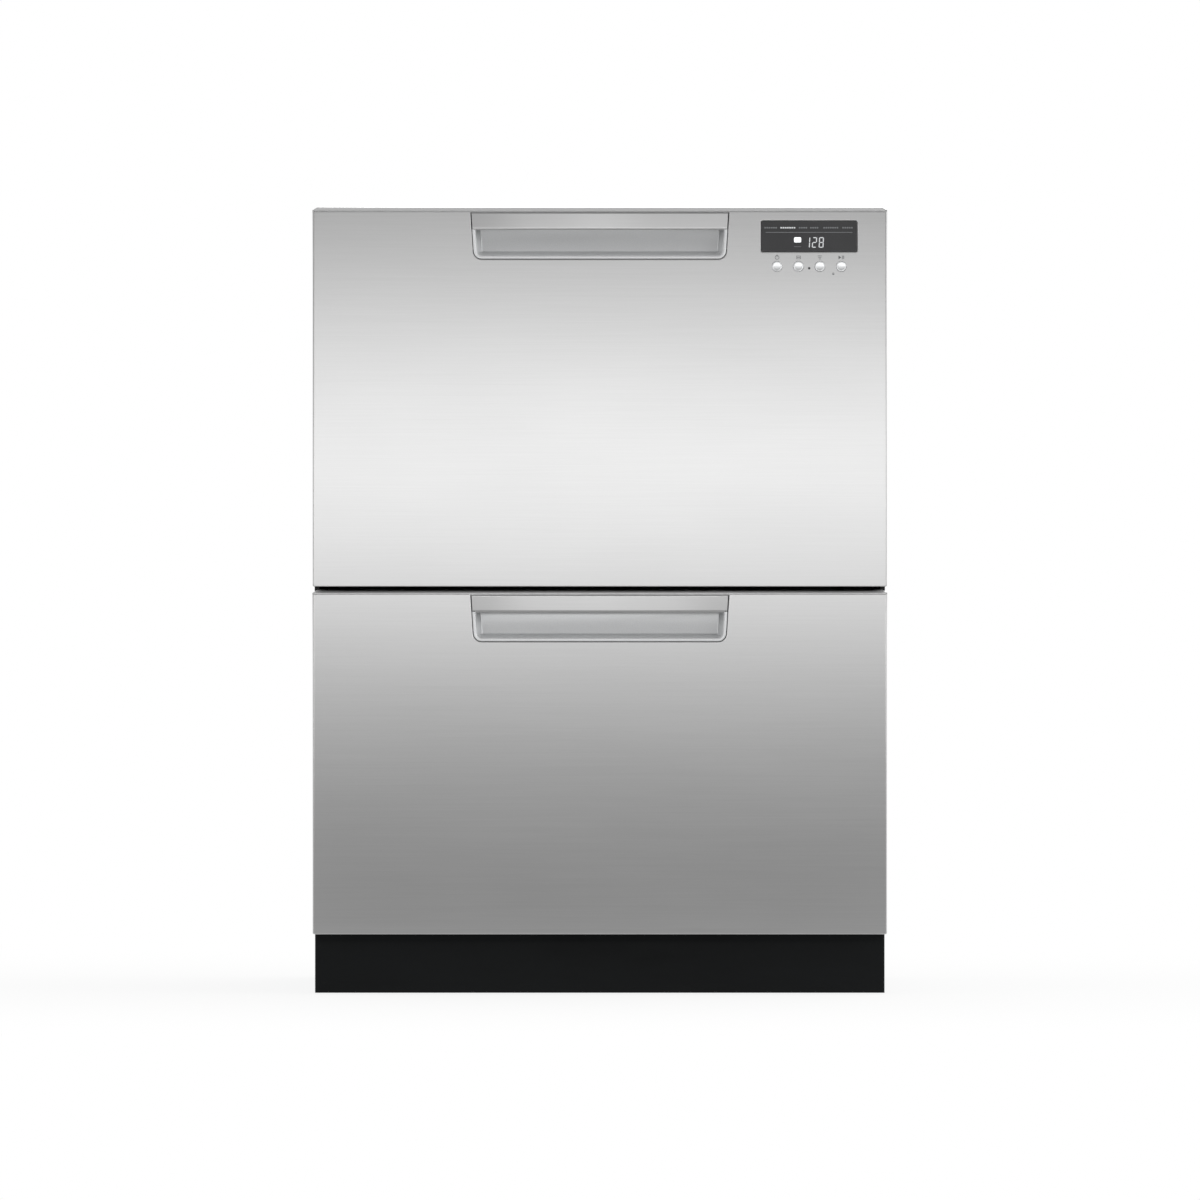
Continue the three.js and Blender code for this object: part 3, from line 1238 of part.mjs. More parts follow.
// A leak pan with turned-up edges, the rail over the toe space and the feet's threaded bosses.
function basePan() {
  const half = sideInner - SEAT;
  const frontY = kickBackY + SEAT;
  const back = backPanelY - SEAT - CHASSIS_SHEET - SEAT;
  const floor = [BASE_FLOOR, BASE_FLOOR + CHASSIS_SHEET];
  const wallTop = BASE_FLOOR + BASE_WALL;
  const railUnder = RAIL_TOP - RAIL_LIP;
  const railX = [-half + SIDE_FLANGE + 1, half - SIDE_FLANGE - 1];
  const pieces = [
    block([-half, half], [frontY, back], floor),
    block([-half, half], [frontY, frontY + CHASSIS_SHEET], [CHASSIS_CLEARANCE, railUnder]),
    block([-half, half], [back - CHASSIS_SHEET, back], [BASE_FLOOR, wallTop]),
    block([-half, -half + CHASSIS_SHEET], [frontY, back], [BASE_FLOOR, wallTop - 2]),
    block([half - CHASSIS_SHEET, half], [frontY, back], [BASE_FLOOR, wallTop - 2]),
    block(railX, [chassisFrontY, frontY + CHASSIS_SHEET], [railUnder, railUnder + CHASSIS_SHEET]),
    block(railX, [chassisFrontY, chassisFrontY + CHASSIS_SHEET], [railUnder, RAIL_TOP]),
  ];
  const bossZ = [CHASSIS_CLEARANCE, CHASSIS_CLEARANCE + FOOT_BOSS_HEIGHT];
  for (const { x, y } of footPlaces) {
    pieces.push(rod("z", FOOT_BOSS_DIAMETER / 2, [x, y], bossZ, 12));
  }
  const bores = footPlaces.map(({ x, y }) =>
    rod("z", STUD_DIAMETER / 2 + SEAT, [x, y], [bossZ[0] - 1, bossZ[1] + 1], 12),
  );
  return cut(join(...pieces), ...bores);
}

function levellingFoot({ x, y }) {
  const pad = FOOT_DIAMETER / 2;
  const profile = [
    [0, 0],
    [pad - 1.5, 0],
    [pad, 2],
    [pad, FOOT_PAD - 3],
    [pad - 8, FOOT_PAD],
    [0, FOOT_PAD],
  ];
  const turned = new THREE.LatheGeometry(profile.map(([r, z]) => new THREE.Vector2(r, z)), 20);
  turned.rotateX(Math.PI / 2).translate(x, y, 0);
  const nutTop = CHASSIS_CLEARANCE - SEAT;
  const nut = rod("z", FOOT_NUT / 2, [x, y], [FOOT_PAD - 1, nutTop], 6);
  const stud = rod("z", STUD_DIAMETER / 2, [x, y], [FOOT_PAD, FOOT_PAD + STUD_LENGTH], 12);
  return join(solidOf(turned), nut, stud);
}

function toeKick() {
  const half = sideOuter;
  const z = [KICK_FLOOR_GAP, RAIL_TOP - RAIL_LIP - SEAT];
  const face = block([-half, half], [kickFrontY, kickBackY], z);
  const inside = sideInner - 2;
  const returnY = [kickBackY - 0.2, kickBackY + KICK_RETURN];
  const lower = block([-inside, inside], returnY, [z[0], z[0] + KICK_SHEET]);
  return join(face, lower);
}

// Steel rail across the front between the two drawers.
function crossmember() {
  const half = sideOuter - SIDE_FLANGE - SEAT;
  const top = lowerFrontTop - 0.5;
  const bottom = top - CROSSMEMBER_HEIGHT;
  const y = [chassisFrontY, chassisFrontY + CROSSMEMBER_DEPTH];
  const outline = [
    [y[0], bottom],
    [y[1], bottom],
    [y[1], bottom + CHASSIS_SHEET],
    [y[0] + CHASSIS_SHEET, bottom + CHASSIS_SHEET],
    [y[0] + CHASSIS_SHEET, top - CHASSIS_SHEET],
    [y[1], top - CHASSIS_SHEET],
    [y[1], top],
    [y[0], top],
  ];
  const rail = prism("x", outline, [-half, half]);
  const ends = [-1, 1].map((side) =>
    block(about(side * (half - 1), 2), [y[0] + 0.5, y[1]], [bottom + 0.5, top - 0.5]),
  );
  const tabs = [-1, 1].map((side) => {
    const x = [side * (half - 2), side * (sideInner - SEAT)].sort((a, b) => a - b);
    return block(x, [y[0] + CHASSIS_SHEET + SEAT, y[1]], [bottom, top]);
  });
  return join(rail, ...ends, ...tabs);
}

// The compressed rubber frame that both fronts close against.
function frontSeal() {
  const y = [frontBackY + SEAT, chassisFrontY - SEAT];
  const half = sideOuter;
  const z = [RAIL_TOP - RAIL_LIP + 0.5, chassisTop];
  const openings = [
    [z[0] + RAIL_LIP - 1, lowerFrontTop - 0.5 - CROSSMEMBER_HEIGHT],
    [lowerFrontTop - 0.5, z[1] - SEAL_WIDTH - 2],
  ];
  const frame = block([-half, half], y, z);
  const windows = openings.map((opening) =>
    block([-half + SEAL_WIDTH, half - SEAL_WIDTH], [y[0] - 1, y[1] + 1], opening),
  );
  return cut(frame, ...windows);
}

// ---------------------------------------------------------------- assembly
function drawer(prefix, frontTop, frontHeight, hasControls) {
  const group = new THREE.Group();
  group.position.z = frontTop - RIM_DROP;
  const span = [RIM_DROP - frontHeight, RIM_DROP];
  const add = (name, solid, material) => addPiece(group, `${prefix}_${name}`, solid, material);
  add("front_panel", frontPanel(span, hasControls), stainless);
  add("front_liner", frontLiner(span, hasControls), darkPlastic);
  add("handle_pocket", handlePocket(), silverPlastic);
  add("handle_grip", handleGrip(), stainless);
  add("tub", tub(), whitePlastic);
  add("wash_motor", washMotor(), darkPlastic);
  add("filter_plate", filterPlate(), stainless);
  add("spray_arm", sprayArm(), greyPlastic);
  add("dish_rack", dishRack(), coatedWire);
  add("plate_insert", plateInsert(), coatedWire);
  add("cup_rack", cupRack(), coatedWire);
  add("cutlery_basket", cutleryBasket(), greyPlastic);
  add("detergent_door", detergentDoor(), greyPlastic);
  add("lid", lid(), whitePlastic);
  add("lid_seal", lidSeal(), darkRubber);
  const members = { middle: runnerMiddle(), inner: runnerInner() };
  for (const [member, right] of Object.entries(members)) {
    add(`runner_right_${member}`, right, zincSteel);
    add(`runner_left_${member}`, mirrored(right), zincSteel);
  }
  const actuator = lidActuator();
  add("lid_actuator_right", actuator, darkPlastic);
  add("lid_actuator_left", mirrored(actuator), darkPlastic);
  if (hasControls) {
    addPiece(group, "display_lens", displayLens(), displayGlass);
    BUTTON_NAMES.forEach((name, i) => addPiece(group, name, controlButton(buttonPlace(i)), silverPlastic));
  }
  return group;
}

function chassis() {
  const group = new THREE.Group();
  const rims = [lowerFrontTop - RIM_DROP, heightOverall - RIM_DROP];
  const side = sidePanel(rims);
  addPiece(group, "side_panel_right", side, zincSteel);
  addPiece(group, "side_panel_left", mirrored(side), zincSteel);
  addPiece(group, "top_panel", topPanel(), zincSteel);
  addPiece(group, "back_panel", backPanel(), zincSteel);
  addPiece(group, "base_pan", basePan(), zincSteel);
  addPiece(group, "crossmember", crossmember(), zincSteel);
  addPiece(group, "front_seal", frontSeal(), darkRubber);
  addPiece(group, "toe_kick", toeKick(), blackSteel);
  addPiece(group, "service_plate", servicePlate(), darkPlastic);
  for (const foot of footPlaces) addPiece(group, foot.name, levellingFoot(foot), darkPlastic);
  return group;
}

const dishwasher = new THREE.Group();
dishwasher.add(chassis());
dishwasher.add(drawer("lower", lowerFrontTop, LOWER_FRONT_HEIGHT, false));
dishwasher.add(drawer("upper", heightOverall, UPPER_FRONT_HEIGHT, true));

export default dishwasher;
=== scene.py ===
import math

import bmesh
import bpy
from mathutils import Matrix, Vector


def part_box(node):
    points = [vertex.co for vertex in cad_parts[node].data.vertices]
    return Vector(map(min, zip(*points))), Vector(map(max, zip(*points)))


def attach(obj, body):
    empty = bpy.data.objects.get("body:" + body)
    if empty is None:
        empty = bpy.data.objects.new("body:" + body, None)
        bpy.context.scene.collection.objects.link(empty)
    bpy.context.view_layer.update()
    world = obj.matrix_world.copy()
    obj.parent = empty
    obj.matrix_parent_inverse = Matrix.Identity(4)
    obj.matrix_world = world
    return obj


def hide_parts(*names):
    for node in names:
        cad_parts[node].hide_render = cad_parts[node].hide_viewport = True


bl_info = {
    "name": "Double Drawer Dishwasher",
    "version": (1, 0, 0),
    "blender": (4, 5, 0),
    "location": "3D View > Sidebar > Dishwasher",
    "description": "Builds the visible pieces of a two-drawer dishwasher around its solid model",
    "category": "Add Mesh",
}

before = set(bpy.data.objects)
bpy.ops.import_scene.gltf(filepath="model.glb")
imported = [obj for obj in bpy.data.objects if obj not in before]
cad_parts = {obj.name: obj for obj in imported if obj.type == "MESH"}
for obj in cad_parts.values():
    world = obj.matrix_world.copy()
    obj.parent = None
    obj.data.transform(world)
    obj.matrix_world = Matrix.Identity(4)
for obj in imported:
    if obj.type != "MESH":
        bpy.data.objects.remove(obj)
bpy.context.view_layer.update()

MM = 0.001
DRAWERS = ("lower", "upper")
SIDES = {"left": -1, "right": 1}


# ---------------------------------------------------------------- places taken from the frame
def low(node):
    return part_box(node)[0]


def high(node):
    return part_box(node)[1]


def middle(node):
    return (low(node) + high(node)) / 2


FACE_Y = low("upper_front_panel").y
FRONT_HALF = high("upper_front_panel").x - 0.31 * MM  # the folds stay inside the solid
BACK_Y = high("upper_front_panel").y
RIM_Z = {name: high(f"{name}_tub").z for name in DRAWERS}
SPAN_Z = {name: (low(f"{name}_front_panel").z, high(f"{name}_front_panel").z) for name in DRAWERS}
DISPLAY_CENTRE = middle("display_lens")
BUTTONS = ("button_power", "button_drawer", "button_programme", "button_start")
SUMP_Y = middle("upper_filter_plate").y
# Below the tub's rim.
RACK_TOP_DROP = 118 * MM
RACK_FLOOR_DROP = 208 * MM
CUP_RACK_DROP = 106 * MM


# ---------------------------------------------------------------- user settings
class DishwasherSizes(bpy.types.PropertyGroup):
    """Sizes of the visible details"""

    def length(name, description, default):
        return bpy.props.FloatProperty(
            name=name, description=description, default=default, unit="LENGTH"
        )

    sheet: length("Front sheet", "Thickness of the folded steel of the fronts", 0.9 * MM)
    bend: length("Edge bend", "Bend radius along the sides of the fronts", 1.3 * MM)
    roll_height: length("Roll height", "Height of the rolled band atop each front", 4.2 * MM)
    roll_depth: length("Roll depth", "How far back the rolled band goes", 5 * MM)
    handle_top_width: length("Handle top", "Width of the handle's cut-out at its top", 268.3 * MM)
    handle_bottom_width: length("Handle bottom", "Width of the cut-out at its bottom", 262 * MM)
    handle_height: length("Handle height", "Height of the handle's cut-out", 49.6 * MM)
    handle_corner: length("Handle corner", "Corner radius of the cut-out's bottom", 8.5 * MM)
    display_width: length("Display width", "Width of the dark display window", 99.8 * MM)
    display_height: length("Display height", "Height of the dark display window", 31.8 * MM)
    button_diameter: length("Button diameter", "Diameter of each push button", 10 * MM)
    wire_diameter: length("Rack wire", "Diameter of the dish racks' coated wire", 4 * MM)
    camera_distance: length("Camera distance", "From the drawer fronts to the camera", 12.0)


class DishwasherColours(bpy.types.PropertyGroup):
    """Colours of the finishes as sRGB hex values, as the object shows them under plain light"""

    def colour(name, description, default):
        return bpy.props.StringProperty(name=name, description=description, default=default)

    stainless: colour("Stainless", "Brushed stainless steel", "#bcbcbc")
    galvanised: colour("Galvanised", "Zinc coated sheet steel", "#a9aeb1")
    powder: colour("Kick", "Black powder coat of the toe kick", "#0b0d0e")
    pocket: colour("Handle pocket", "Satin silver paint of the handle pockets", "#d3d4d5")
    display: colour("Display", "Smoked acrylic of the display window", "#3c3c3d")
    button: colour("Button", "Pale silver of the push buttons", "#e8e9ea")
    mark: colour("Print", "Grey of the printed symbols", "#5b5d5f")
    square: colour("Lit square", "The display's backlit square", "#dfe3e4")
    lit: colour("Lit strokes", "Lit digits and strokes of the display", "#c4c6c8")
    dim: colour("Dim strokes", "Unlit strokes of the display", "#727476")
    tub: colour("Tub", "Moulded polypropylene of the tubs and lids", "#dcdedc")
    grey: colour("Grey plastic", "Moulded grey of the baskets and spray arms", "#8b9195")
    black: colour("Black plastic", "Moulded black of feet, liners and housings", "#26282a")
    rubber: colour("Rubber", "Seal rubber", "#18191a")
    wire: colour("Rack coating", "Nylon coating of the rack wires", "#a9aeb3")
    floor: colour("Floor", "Pale studio floor", "#e4e4e3")


def sizes():
    return bpy.context.scene.dishwasher_sizes


def colours():
    return bpy.context.scene.dishwasher_colours


# ---------------------------------------------------------------- materials
def linear(hex_colour):
    """An sRGB hex colour as linear RGBA."""
    values = [int(hex_colour[i : i + 2], 16) / 255 for i in (1, 3, 5)]
    linear_values = [v / 12.92 if v <= 0.04045 else ((v + 0.055) / 1.055) ** 2.4 for v in values]
    return (*linear_values, 1.0)


def shaded(colour, factor):
    return (colour[0] * factor, colour[1] * factor, colour[2] * factor, 1.0)


def add_node(material, kind, inputs=None, **settings):
    """Adds a node with its settings; inputs maps sockets to values or to other nodes' outputs."""
    tree = material.node_tree
    node = tree.nodes.new(kind)
    for name, value in settings.items():
        setattr(node, name, value)
    for name, value in (inputs or {}).items():
        if isinstance(value, bpy.types.NodeSocket):
            tree.links.new(value, node.inputs[name])
        else:
            node.inputs[name].default_value = value
    return node


def new_material(name, **values):
    """A material with its Principled shader's plain values set."""
    material = bpy.data.materials.new(name)
    material.use_nodes = True
    shader = material.node_tree.nodes["Principled BSDF"]
    for socket, value in values.items():
        shader.inputs[socket.replace("_", " ")].default_value = value
    return material, shader


def scaled_noise(material, stretch, detail=3.0, roughness=0.55):
    """Noise over Object coordinates, whose features are about stretch = (x, y, z) metres long."""
    place = add_node(material, "ShaderNodeTexCoord")
    mapping = add_node(
        material,
        "ShaderNodeMapping",
        {"Vector": place.outputs["Object"], "Scale": [1 / s for s in stretch]},
    )
    return add_node(
        material,
        "ShaderNodeTexNoise",
        {"Vector": mapping.outputs[0], "Scale": 1.0, "Detail": detail, "Roughness": roughness},
    ).outputs[0]


def link(material, output, shader, socket):
    material.node_tree.links.new(output, shader.inputs[socket])


def between(material, factor, lowest=0.0, highest=1.0):
    """factor's 0.3 to 0.7, where noise mostly lies, as lowest to highest."""
    limits = {"From Min": 0.3, "From Max": 0.7, "To Min": lowest, "To Max": highest}
    return add_node(material, "ShaderNodeMapRange", {"Value": factor, **limits}).outputs[0]


def tint(material, shader, factor, colour, dark, pale):
    """The base colour runs from dark to pale times the colour as factor rises."""
    mix = add_node(
        material,
        "ShaderNodeMix",
        {0: factor, "A": shaded(colour, dark), "B": shaded(colour, pale)},
        data_type="RGBA",
    )
    link(material, mix.outputs["Result"], shader, "Base Color")


def bump(material, shader, height, depth, strength=1.0):
    """A relief of the given depth in metres."""
    node = add_node(
        material,
        "ShaderNodeBump",
        {"Height": height, "Distance": depth, "Strength": strength},
    )
    link(material, node.outputs[0], shader, "Normal")


def combined(owner, operation, first, second):
    return add_node(owner, "ShaderNodeMath", {0: first, 1: second}, operation=operation).outputs[0]


def brushed_stainless(name, grain=(120 * MM, 120 * MM, 1.2 * MM), roughness=0.285):
    """Type 430 stainless sheet with a belt-brushed grain along X."""
    # The belt leaves long shallow scratches that blur reflections across the grain. They are
    # finer than 0.1 mm on the real sheet, and are drawn 1.2 mm wide so that they show.
    steel = linear(colours().stainless)
    material, shader = new_material(name, Metallic=1.0, Roughness=roughness)
    scratches = scaled_noise(material, grain, detail=4.0, roughness=0.7)
    clouds = scaled_noise(material, (220 * MM, 220 * MM, 90 * MM), detail=2.0)
    tint(material, shader, between(material, scratches), steel, 0.972, 1.025)
    fine = between(material, scratches, -0.005, 0.005)
    wide = between(material, clouds, -0.004, 0.004)
    level = combined(material, "ADD", combined(material, "ADD", fine, wide), roughness)
    link(material, level, shader, "Roughness")
    bump(material, shader, scratches, 0.0005 * MM, 0.01)
    return material


def galvanised_steel():
    """Hot-dip galvanised sheet: dull zinc crystals a few millimetres across."""
    zinc = linear(colours().galvanised)
    material, shader = new_material("galvanised_steel", Metallic=1.0, Roughness=0.46)
    place = add_node(material, "ShaderNodeTexCoord")
    spangle = add_node(
        material,
        "ShaderNodeTexVoronoi",
        {"Vector": place.outputs["Object"], "Scale": 1 / (9 * MM), "Randomness": 1.0},
    )
    grey = add_node(material, "ShaderNodeSeparateColor", {0: spangle.outputs["Color"]})
    tint(material, shader, grey.outputs[0], zinc, 0.82, 1.06)
    link(material, between(material, grey.outputs[1], 0.4, 0.5), shader, "Roughness")
    bump(material, shader, scaled_noise(material, (4 * MM,) * 3), 0.03 * MM, 0.4)
    return material


def plated_zinc():
    """Bright zinc plate on runners, screws and studs, drawn with a soft grain along Y."""
    zinc = linear(colours().galvanised)
    material, shader = new_material("zinc_plated_steel", Metallic=1.0, Roughness=0.32)
    grain = scaled_noise(material, (1.2 * MM, 80 * MM, 1.2 * MM), detail=3.0)
    tint(material, shader, between(material, grain), zinc, 0.9, 1.15)
    link(material, between(material, grain, 0.26, 0.38), shader, "Roughness")
    return material


def moulded(name, hex_colour, roughness, coat=0.0):
    """Injection-moulded plastic: an even colour with a fine spark-eroded grain and flow marks."""
    colour = linear(hex_colour)
    material, shader = new_material(
        name, Roughness=roughness, IOR=1.49, Coat_Weight=coat, Coat_Roughness=0.2
    )
    flow = scaled_noise(material, (70 * MM, 40 * MM, 90 * MM), detail=2.0)
    grit = scaled_noise(material, (0.5 * MM,) * 3, detail=2.0)
    tint(material, shader, between(material, flow), colour, 0.965, 1.03)
    link(material, between(material, flow, roughness - 0.04, roughness + 0.04), shader, "Roughness")
    bump(material, shader, grit, 0.02 * MM, 0.5)
    return material


def powder_coat():
    """Black powder coat on the toe kick: a low-sheen skin with a fine orange peel and floor dust."""
    colour = linear(colours().powder)
    material, shader = new_material("black_powder_coat", Roughness=0.42, Specular_IOR_Level=0.12)
    peel = scaled_noise(material, (1.6 * MM,) * 3, detail=2.0)
    dust = scaled_noise(material, (120 * MM, 30 * MM, 30 * MM), detail=4.0)
    tint(material, shader, between(material, dust), colour, 0.85, 1.25)
    link(material, between(material, dust, 0.36, 0.5), shader, "Roughness")
    bump(material, shader, peel, 0.04 * MM, 0.5)
    return material


def seal_rubber():
    """Black EPDM seal rubber: matt, with talc-pale wear."""
    colour = linear(colours().rubber)
    material, shader = new_material("epdm_rubber", Roughness=0.75, IOR=1.52)
    wear = scaled_noise(material, (14 * MM,) * 3, detail=4.0)
    tint(material, shader, between(material, wear), colour, 0.8, 1.5)
    bump(material, shader, scaled_noise(material, (0.8 * MM,) * 3), 0.05 * MM, 0.5)
    return material


def satin_silver(name, hex_colour, metallic, roughness=0.36):
    """Silver lacquer on ABS: fine metal flake under a satin lacquer."""
    colour = linear(hex_colour)
    material, shader = new_material(
        name, Metallic=metallic, Roughness=roughness, IOR=1.5, Coat_Weight=0.15, Coat_Roughness=0.25
    )
    flake = scaled_noise(material, (0.7 * MM,) * 3, detail=1.0)
    tint(material, shader, between(material, flake), colour, 0.94, 1.05)
    bump(material, shader, flake, 0.01 * MM, 0.3)
    return material


def smoked_acrylic():
    """Smoked acrylic window, polished, dark with a slight haze."""
    colour = linear(colours().display)
    material, shader = new_material(
        "smoked_acrylic", Roughness=0.12, IOR=1.49, Coat_Weight=0.5, Coat_Roughness=0.05
    )
    haze = scaled_noise(material, (60 * MM,) * 3, detail=2.0)
    tint(material, shader, between(material, haze), colour, 0.92, 1.08)
    return material


def printed(name, hex_colour, roughness=0.55, glow=0.0):
    """Screen-printed ink, or a lit segment behind the window when it glows."""
    colour = linear(hex_colour)
    material, shader = new_material(
        name, Roughness=roughness, Emission_Color=colour, Emission_Strength=glow
    )
    ink = scaled_noise(material, (0.6 * MM,) * 3, detail=2.0)
    tint(material, shader, between(material, ink), colour, 0.93, 1.05)
    return material


def nylon_coating():
    """Grey polyamide dip coat on bent steel wire: soft satin with slight runs."""
    colour = linear(colours().wire)
    material, shader = new_material("nylon_coated_wire", Roughness=0.38, IOR=1.53)
    runs = scaled_noise(material, (6 * MM,) * 3, detail=2.0)
    tint(material, shader, between(material, runs), colour, 0.93, 1.05)
    bump(material, shader, runs, 0.06 * MM, 0.4)
    return material


def ray_kinds(owner):
    """1 for camera rays, and 1 for glossy or transmission rays, as two outputs."""
    path = add_node(owner, "ShaderNodeLightPath")
    glossy, transmitted = path.outputs["Is Glossy Ray"], path.outputs["Is Transmission Ray"]
    return path.outputs["Is Camera Ray"], combined(owner, "MAXIMUM", glossy, transmitted)


def rising(owner, value, start, end, low_value=0.0, high_value=1.0):
    """A smooth step from low_value at start to high_value at end."""
    limits = {"From Min": start, "From Max": end, "To Min": low_value, "To Max": high_value}
    return add_node(
        owner,
        "ShaderNodeMapRange",
        {"Value": value, **limits},
        interpolation_type="SMOOTHSTEP",
    ).outputs[0]


def beside(owner, parts):
    """1 well to either side of straight ahead or behind, 0 within about 14 degrees of it."""
    slope = combined(owner, "DIVIDE", parts.outputs["X"], parts.outputs["Y"])
    return rising(owner, combined(owner, "ABSOLUTE", slope, 0.0), 0.25, 0.7)


def studio_floor():
    """Matt white studio paper, which the camera sees as white away from the object's shadow."""
    colour = linear(colours().floor)
    material, shader = new_material("studio_paper", Roughness=0.9, Specular_IOR_Level=0.2)
    patches = scaled_noise(material, (900 * MM,) * 3, detail=3.0)
    tint(material, shader, between(material, patches), colour, 0.985, 1.01)
    place = add_node(material, "ShaderNodeTexCoord").outputs["Object"]
    away = add_node(material, "ShaderNodeVectorMath", {0: place}, operation="LENGTH").outputs["Value"]
    parts = add_node(material, "ShaderNodeSeparateXYZ", {0: place})
    seen, shiny = ray_kinds(material)

    def glow_over(shown, strength, factor):
        """An even glow mixed over what is shown so far."""
        glow = add_node(material, "ShaderNodeEmission", {"Strength": strength}).outputs[0]
        mix = {0: factor, 1: shown, 2: glow}
        return add_node(material, "ShaderNodeMixShader", mix).outputs[0]

    near = rising(material, parts.outputs["Y"], -1.0, -0.4)
    behind = combined(material, "MAXIMUM", near, beside(material, parts))
    rays = combined(material, "MAXIMUM", seen, combined(material, "MULTIPLY", shiny, behind))
    share = rising(material, away, 0.35, 1.5, 0.84, 1.0)
    shown = glow_over(shader.outputs[0], 1.0, combined(material, "MULTIPLY", rays, share))
    # The room in front is dim, so the steel fronts darken towards the floor as in the photograph.
    ahead = combined(material, "SUBTRACT", 1.0, behind)
    shown = glow_over(shown, ROOM_DIM, combined(material, "MULTIPLY", shiny, ahead))
    link(material, shown, material.node_tree.nodes["Material Output"], "Surface")
    # No light sample goes to the paper: they all go to the lamps.
    material.cycles.emission_sampling = "NONE"
    return material


# What makes each finish, and the record's slot that it stands for.
FINISHES = {
    "stainless": (lambda: brushed_stainless("brushed_stainless_sheet"), "stainless"),
    "grip_steel": (
        lambda: brushed_stainless("brushed_stainless_grip", (60 * MM, 60 * MM, 0.6 * MM), 0.285),
        "stainless",
    ),
    "filter_steel": (
        lambda: brushed_stainless("pressed_stainless_filter", (3 * MM,) * 3, 0.34),
        "stainless",
    ),
    "galvanised": (galvanised_steel, "zinc_steel"),
    "zinc": (plated_zinc, "zinc_steel"),
    "powder": (powder_coat, "black_steel"),
    "pocket": (lambda: satin_silver("satin_silver_abs", colours().pocket, 0.45), "silver_plastic"),
    "button": (lambda: satin_silver("pale_silver_abs", colours().button, 0.85, 0.3), "silver_plastic"),
    "display": (smoked_acrylic, "display_acrylic"),
    "print": (lambda: printed("grey_ink", colours().mark), "silver_plastic"),
    "bright": (lambda: printed("backlit_square", colours().square, 0.4, 0.9), "display_acrylic"),
    "lit": (lambda: printed("lit_segments", colours().lit, 0.4, 0.3), "display_acrylic"),
    "dim": (lambda: printed("dim_segments", colours().dim, 0.4), "display_acrylic"),
    "tub": (lambda: moulded("white_polypropylene", colours().tub, 0.38, coat=0.1), "white_plastic"),
    "grey": (lambda: moulded("grey_polypropylene", colours().grey, 0.42), "grey_plastic"),
    "black": (lambda: moulded("black_polyamide", colours().black, 0.48), "dark_plastic"),
    "rubber": (seal_rubber, "seal_rubber"),
    "wire": (nylon_coating, "coated_wire"),
}
made_materials = {}


def finish_of(name):
    if name not in made_materials:
        made_materials[name] = FINISHES[name][0]()
    return made_materials[name]


# ---------------------------------------------------------------- mesh helpers
def ring(bm, points):
    """A closed loop of new edges through the points."""
    corners = [bm.verts.new(p) for p in points]
    return [bm.edges.new((a, b)) for a, b in zip(corners, corners[1:] + corners[:1])]


def lofted(bm, outlines):
    """Draws the first outline out to each of the next; returns the first and the last edges."""
    first = last = ring(bm, outlines[0])
    corners = [edge.verts[0] for edge in first]
    for outline in outlines[1:]:
        made = bmesh.ops.extrude_edge_only(bm, edges=last)["geom"]
        fresh = {each for each in made if isinstance(each, bmesh.types.BMVert)}
        corners = [
            next(edge.other_vert(v) for edge in v.link_edges if edge.other_vert(v) in fresh)
            for v in corners
        ]
        for corner, point in zip(corners, outline):
            corner.co = point
        last = [bm.edges.get(pair) for pair in zip(corners, corners[1:] + corners[:1])]
    return first, last


def filled(bm, *rings):
    """One flat face region inside the first ring, with the others as holes."""
    edges = [edge for each in rings for edge in each]
    bmesh.ops.triangle_fill(bm, use_beauty=True, use_dissolve=False, edges=edges)


def add_box(bm, x, y, z, bevel=0.0, segments=2):
    """A box over three spans, with rounded edges."""
    spans = [sorted(span) for span in (x, y, z)]
    centre = Vector([(a + b) / 2 for a, b in spans])
    size = Vector([b - a for a, b in spans])
    matrix = Matrix.Translation(centre) @ Matrix.Diagonal((*size, 1.0))
    made = bmesh.ops.create_cube(bm, size=1.0, matrix=matrix)
    if bevel:
        edges = {edge for vert in made["verts"] for edge in vert.link_edges}
        bmesh.ops.bevel(
            bm,
            geom=list(edges),
            offset=bevel,
            segments=segments,
            affect="EDGES",
            profile=0.5,
            material=-1,
        )
    return made["verts"]


ALONG = {
    "x": Matrix.Rotation(math.pi / 2, 4, "Y"),
    "y": Matrix.Rotation(-math.pi / 2, 4, "X"),
    "z": Matrix.Identity(4),
}


def add_turned(bm, profile, centre, axis, steps):
    """A solid turned from (radius, height) points, its heights along the axis from the centre."""
    corners = [bm.verts.new((radius, 0, height)) for radius, height in profile]
    edges = [bm.edges.new(pair) for pair in zip(corners, corners[1:])]
    bmesh.ops.spin(
        bm,
        geom=corners + edges,
        cent=(0, 0, 0),
        axis=(0, 0, 1),
        angle=2 * math.pi,
        steps=steps,
        use_merge=True,
    )
    turned = connected(bm, corners)
    bmesh.ops.remove_doubles(bm, verts=turned, dist=0.001 * MM)
    turned = [v for v in turned if v.is_valid]
    bmesh.ops.transform(bm, matrix=Matrix.Translation(centre) @ ALONG[axis], verts=turned)
    return turned


def connected(bm, seeds):
    """Every vertex that the seeds reach along edges."""
    found, waiting = set(seeds), list(seeds)
    while waiting:
        for edge in waiting.pop().link_edges:
            for vert in edge.verts:
                if vert not in found:
                    found.add(vert)
                    waiting.append(vert)
    return list(found)


def add_rod(bm, radius, centre, length, axis, steps):
    """A round bar from the centre along the axis."""
    return add_turned(bm, [(0, 0), (radius, 0), (radius, length), (0, length)], centre, axis, steps)


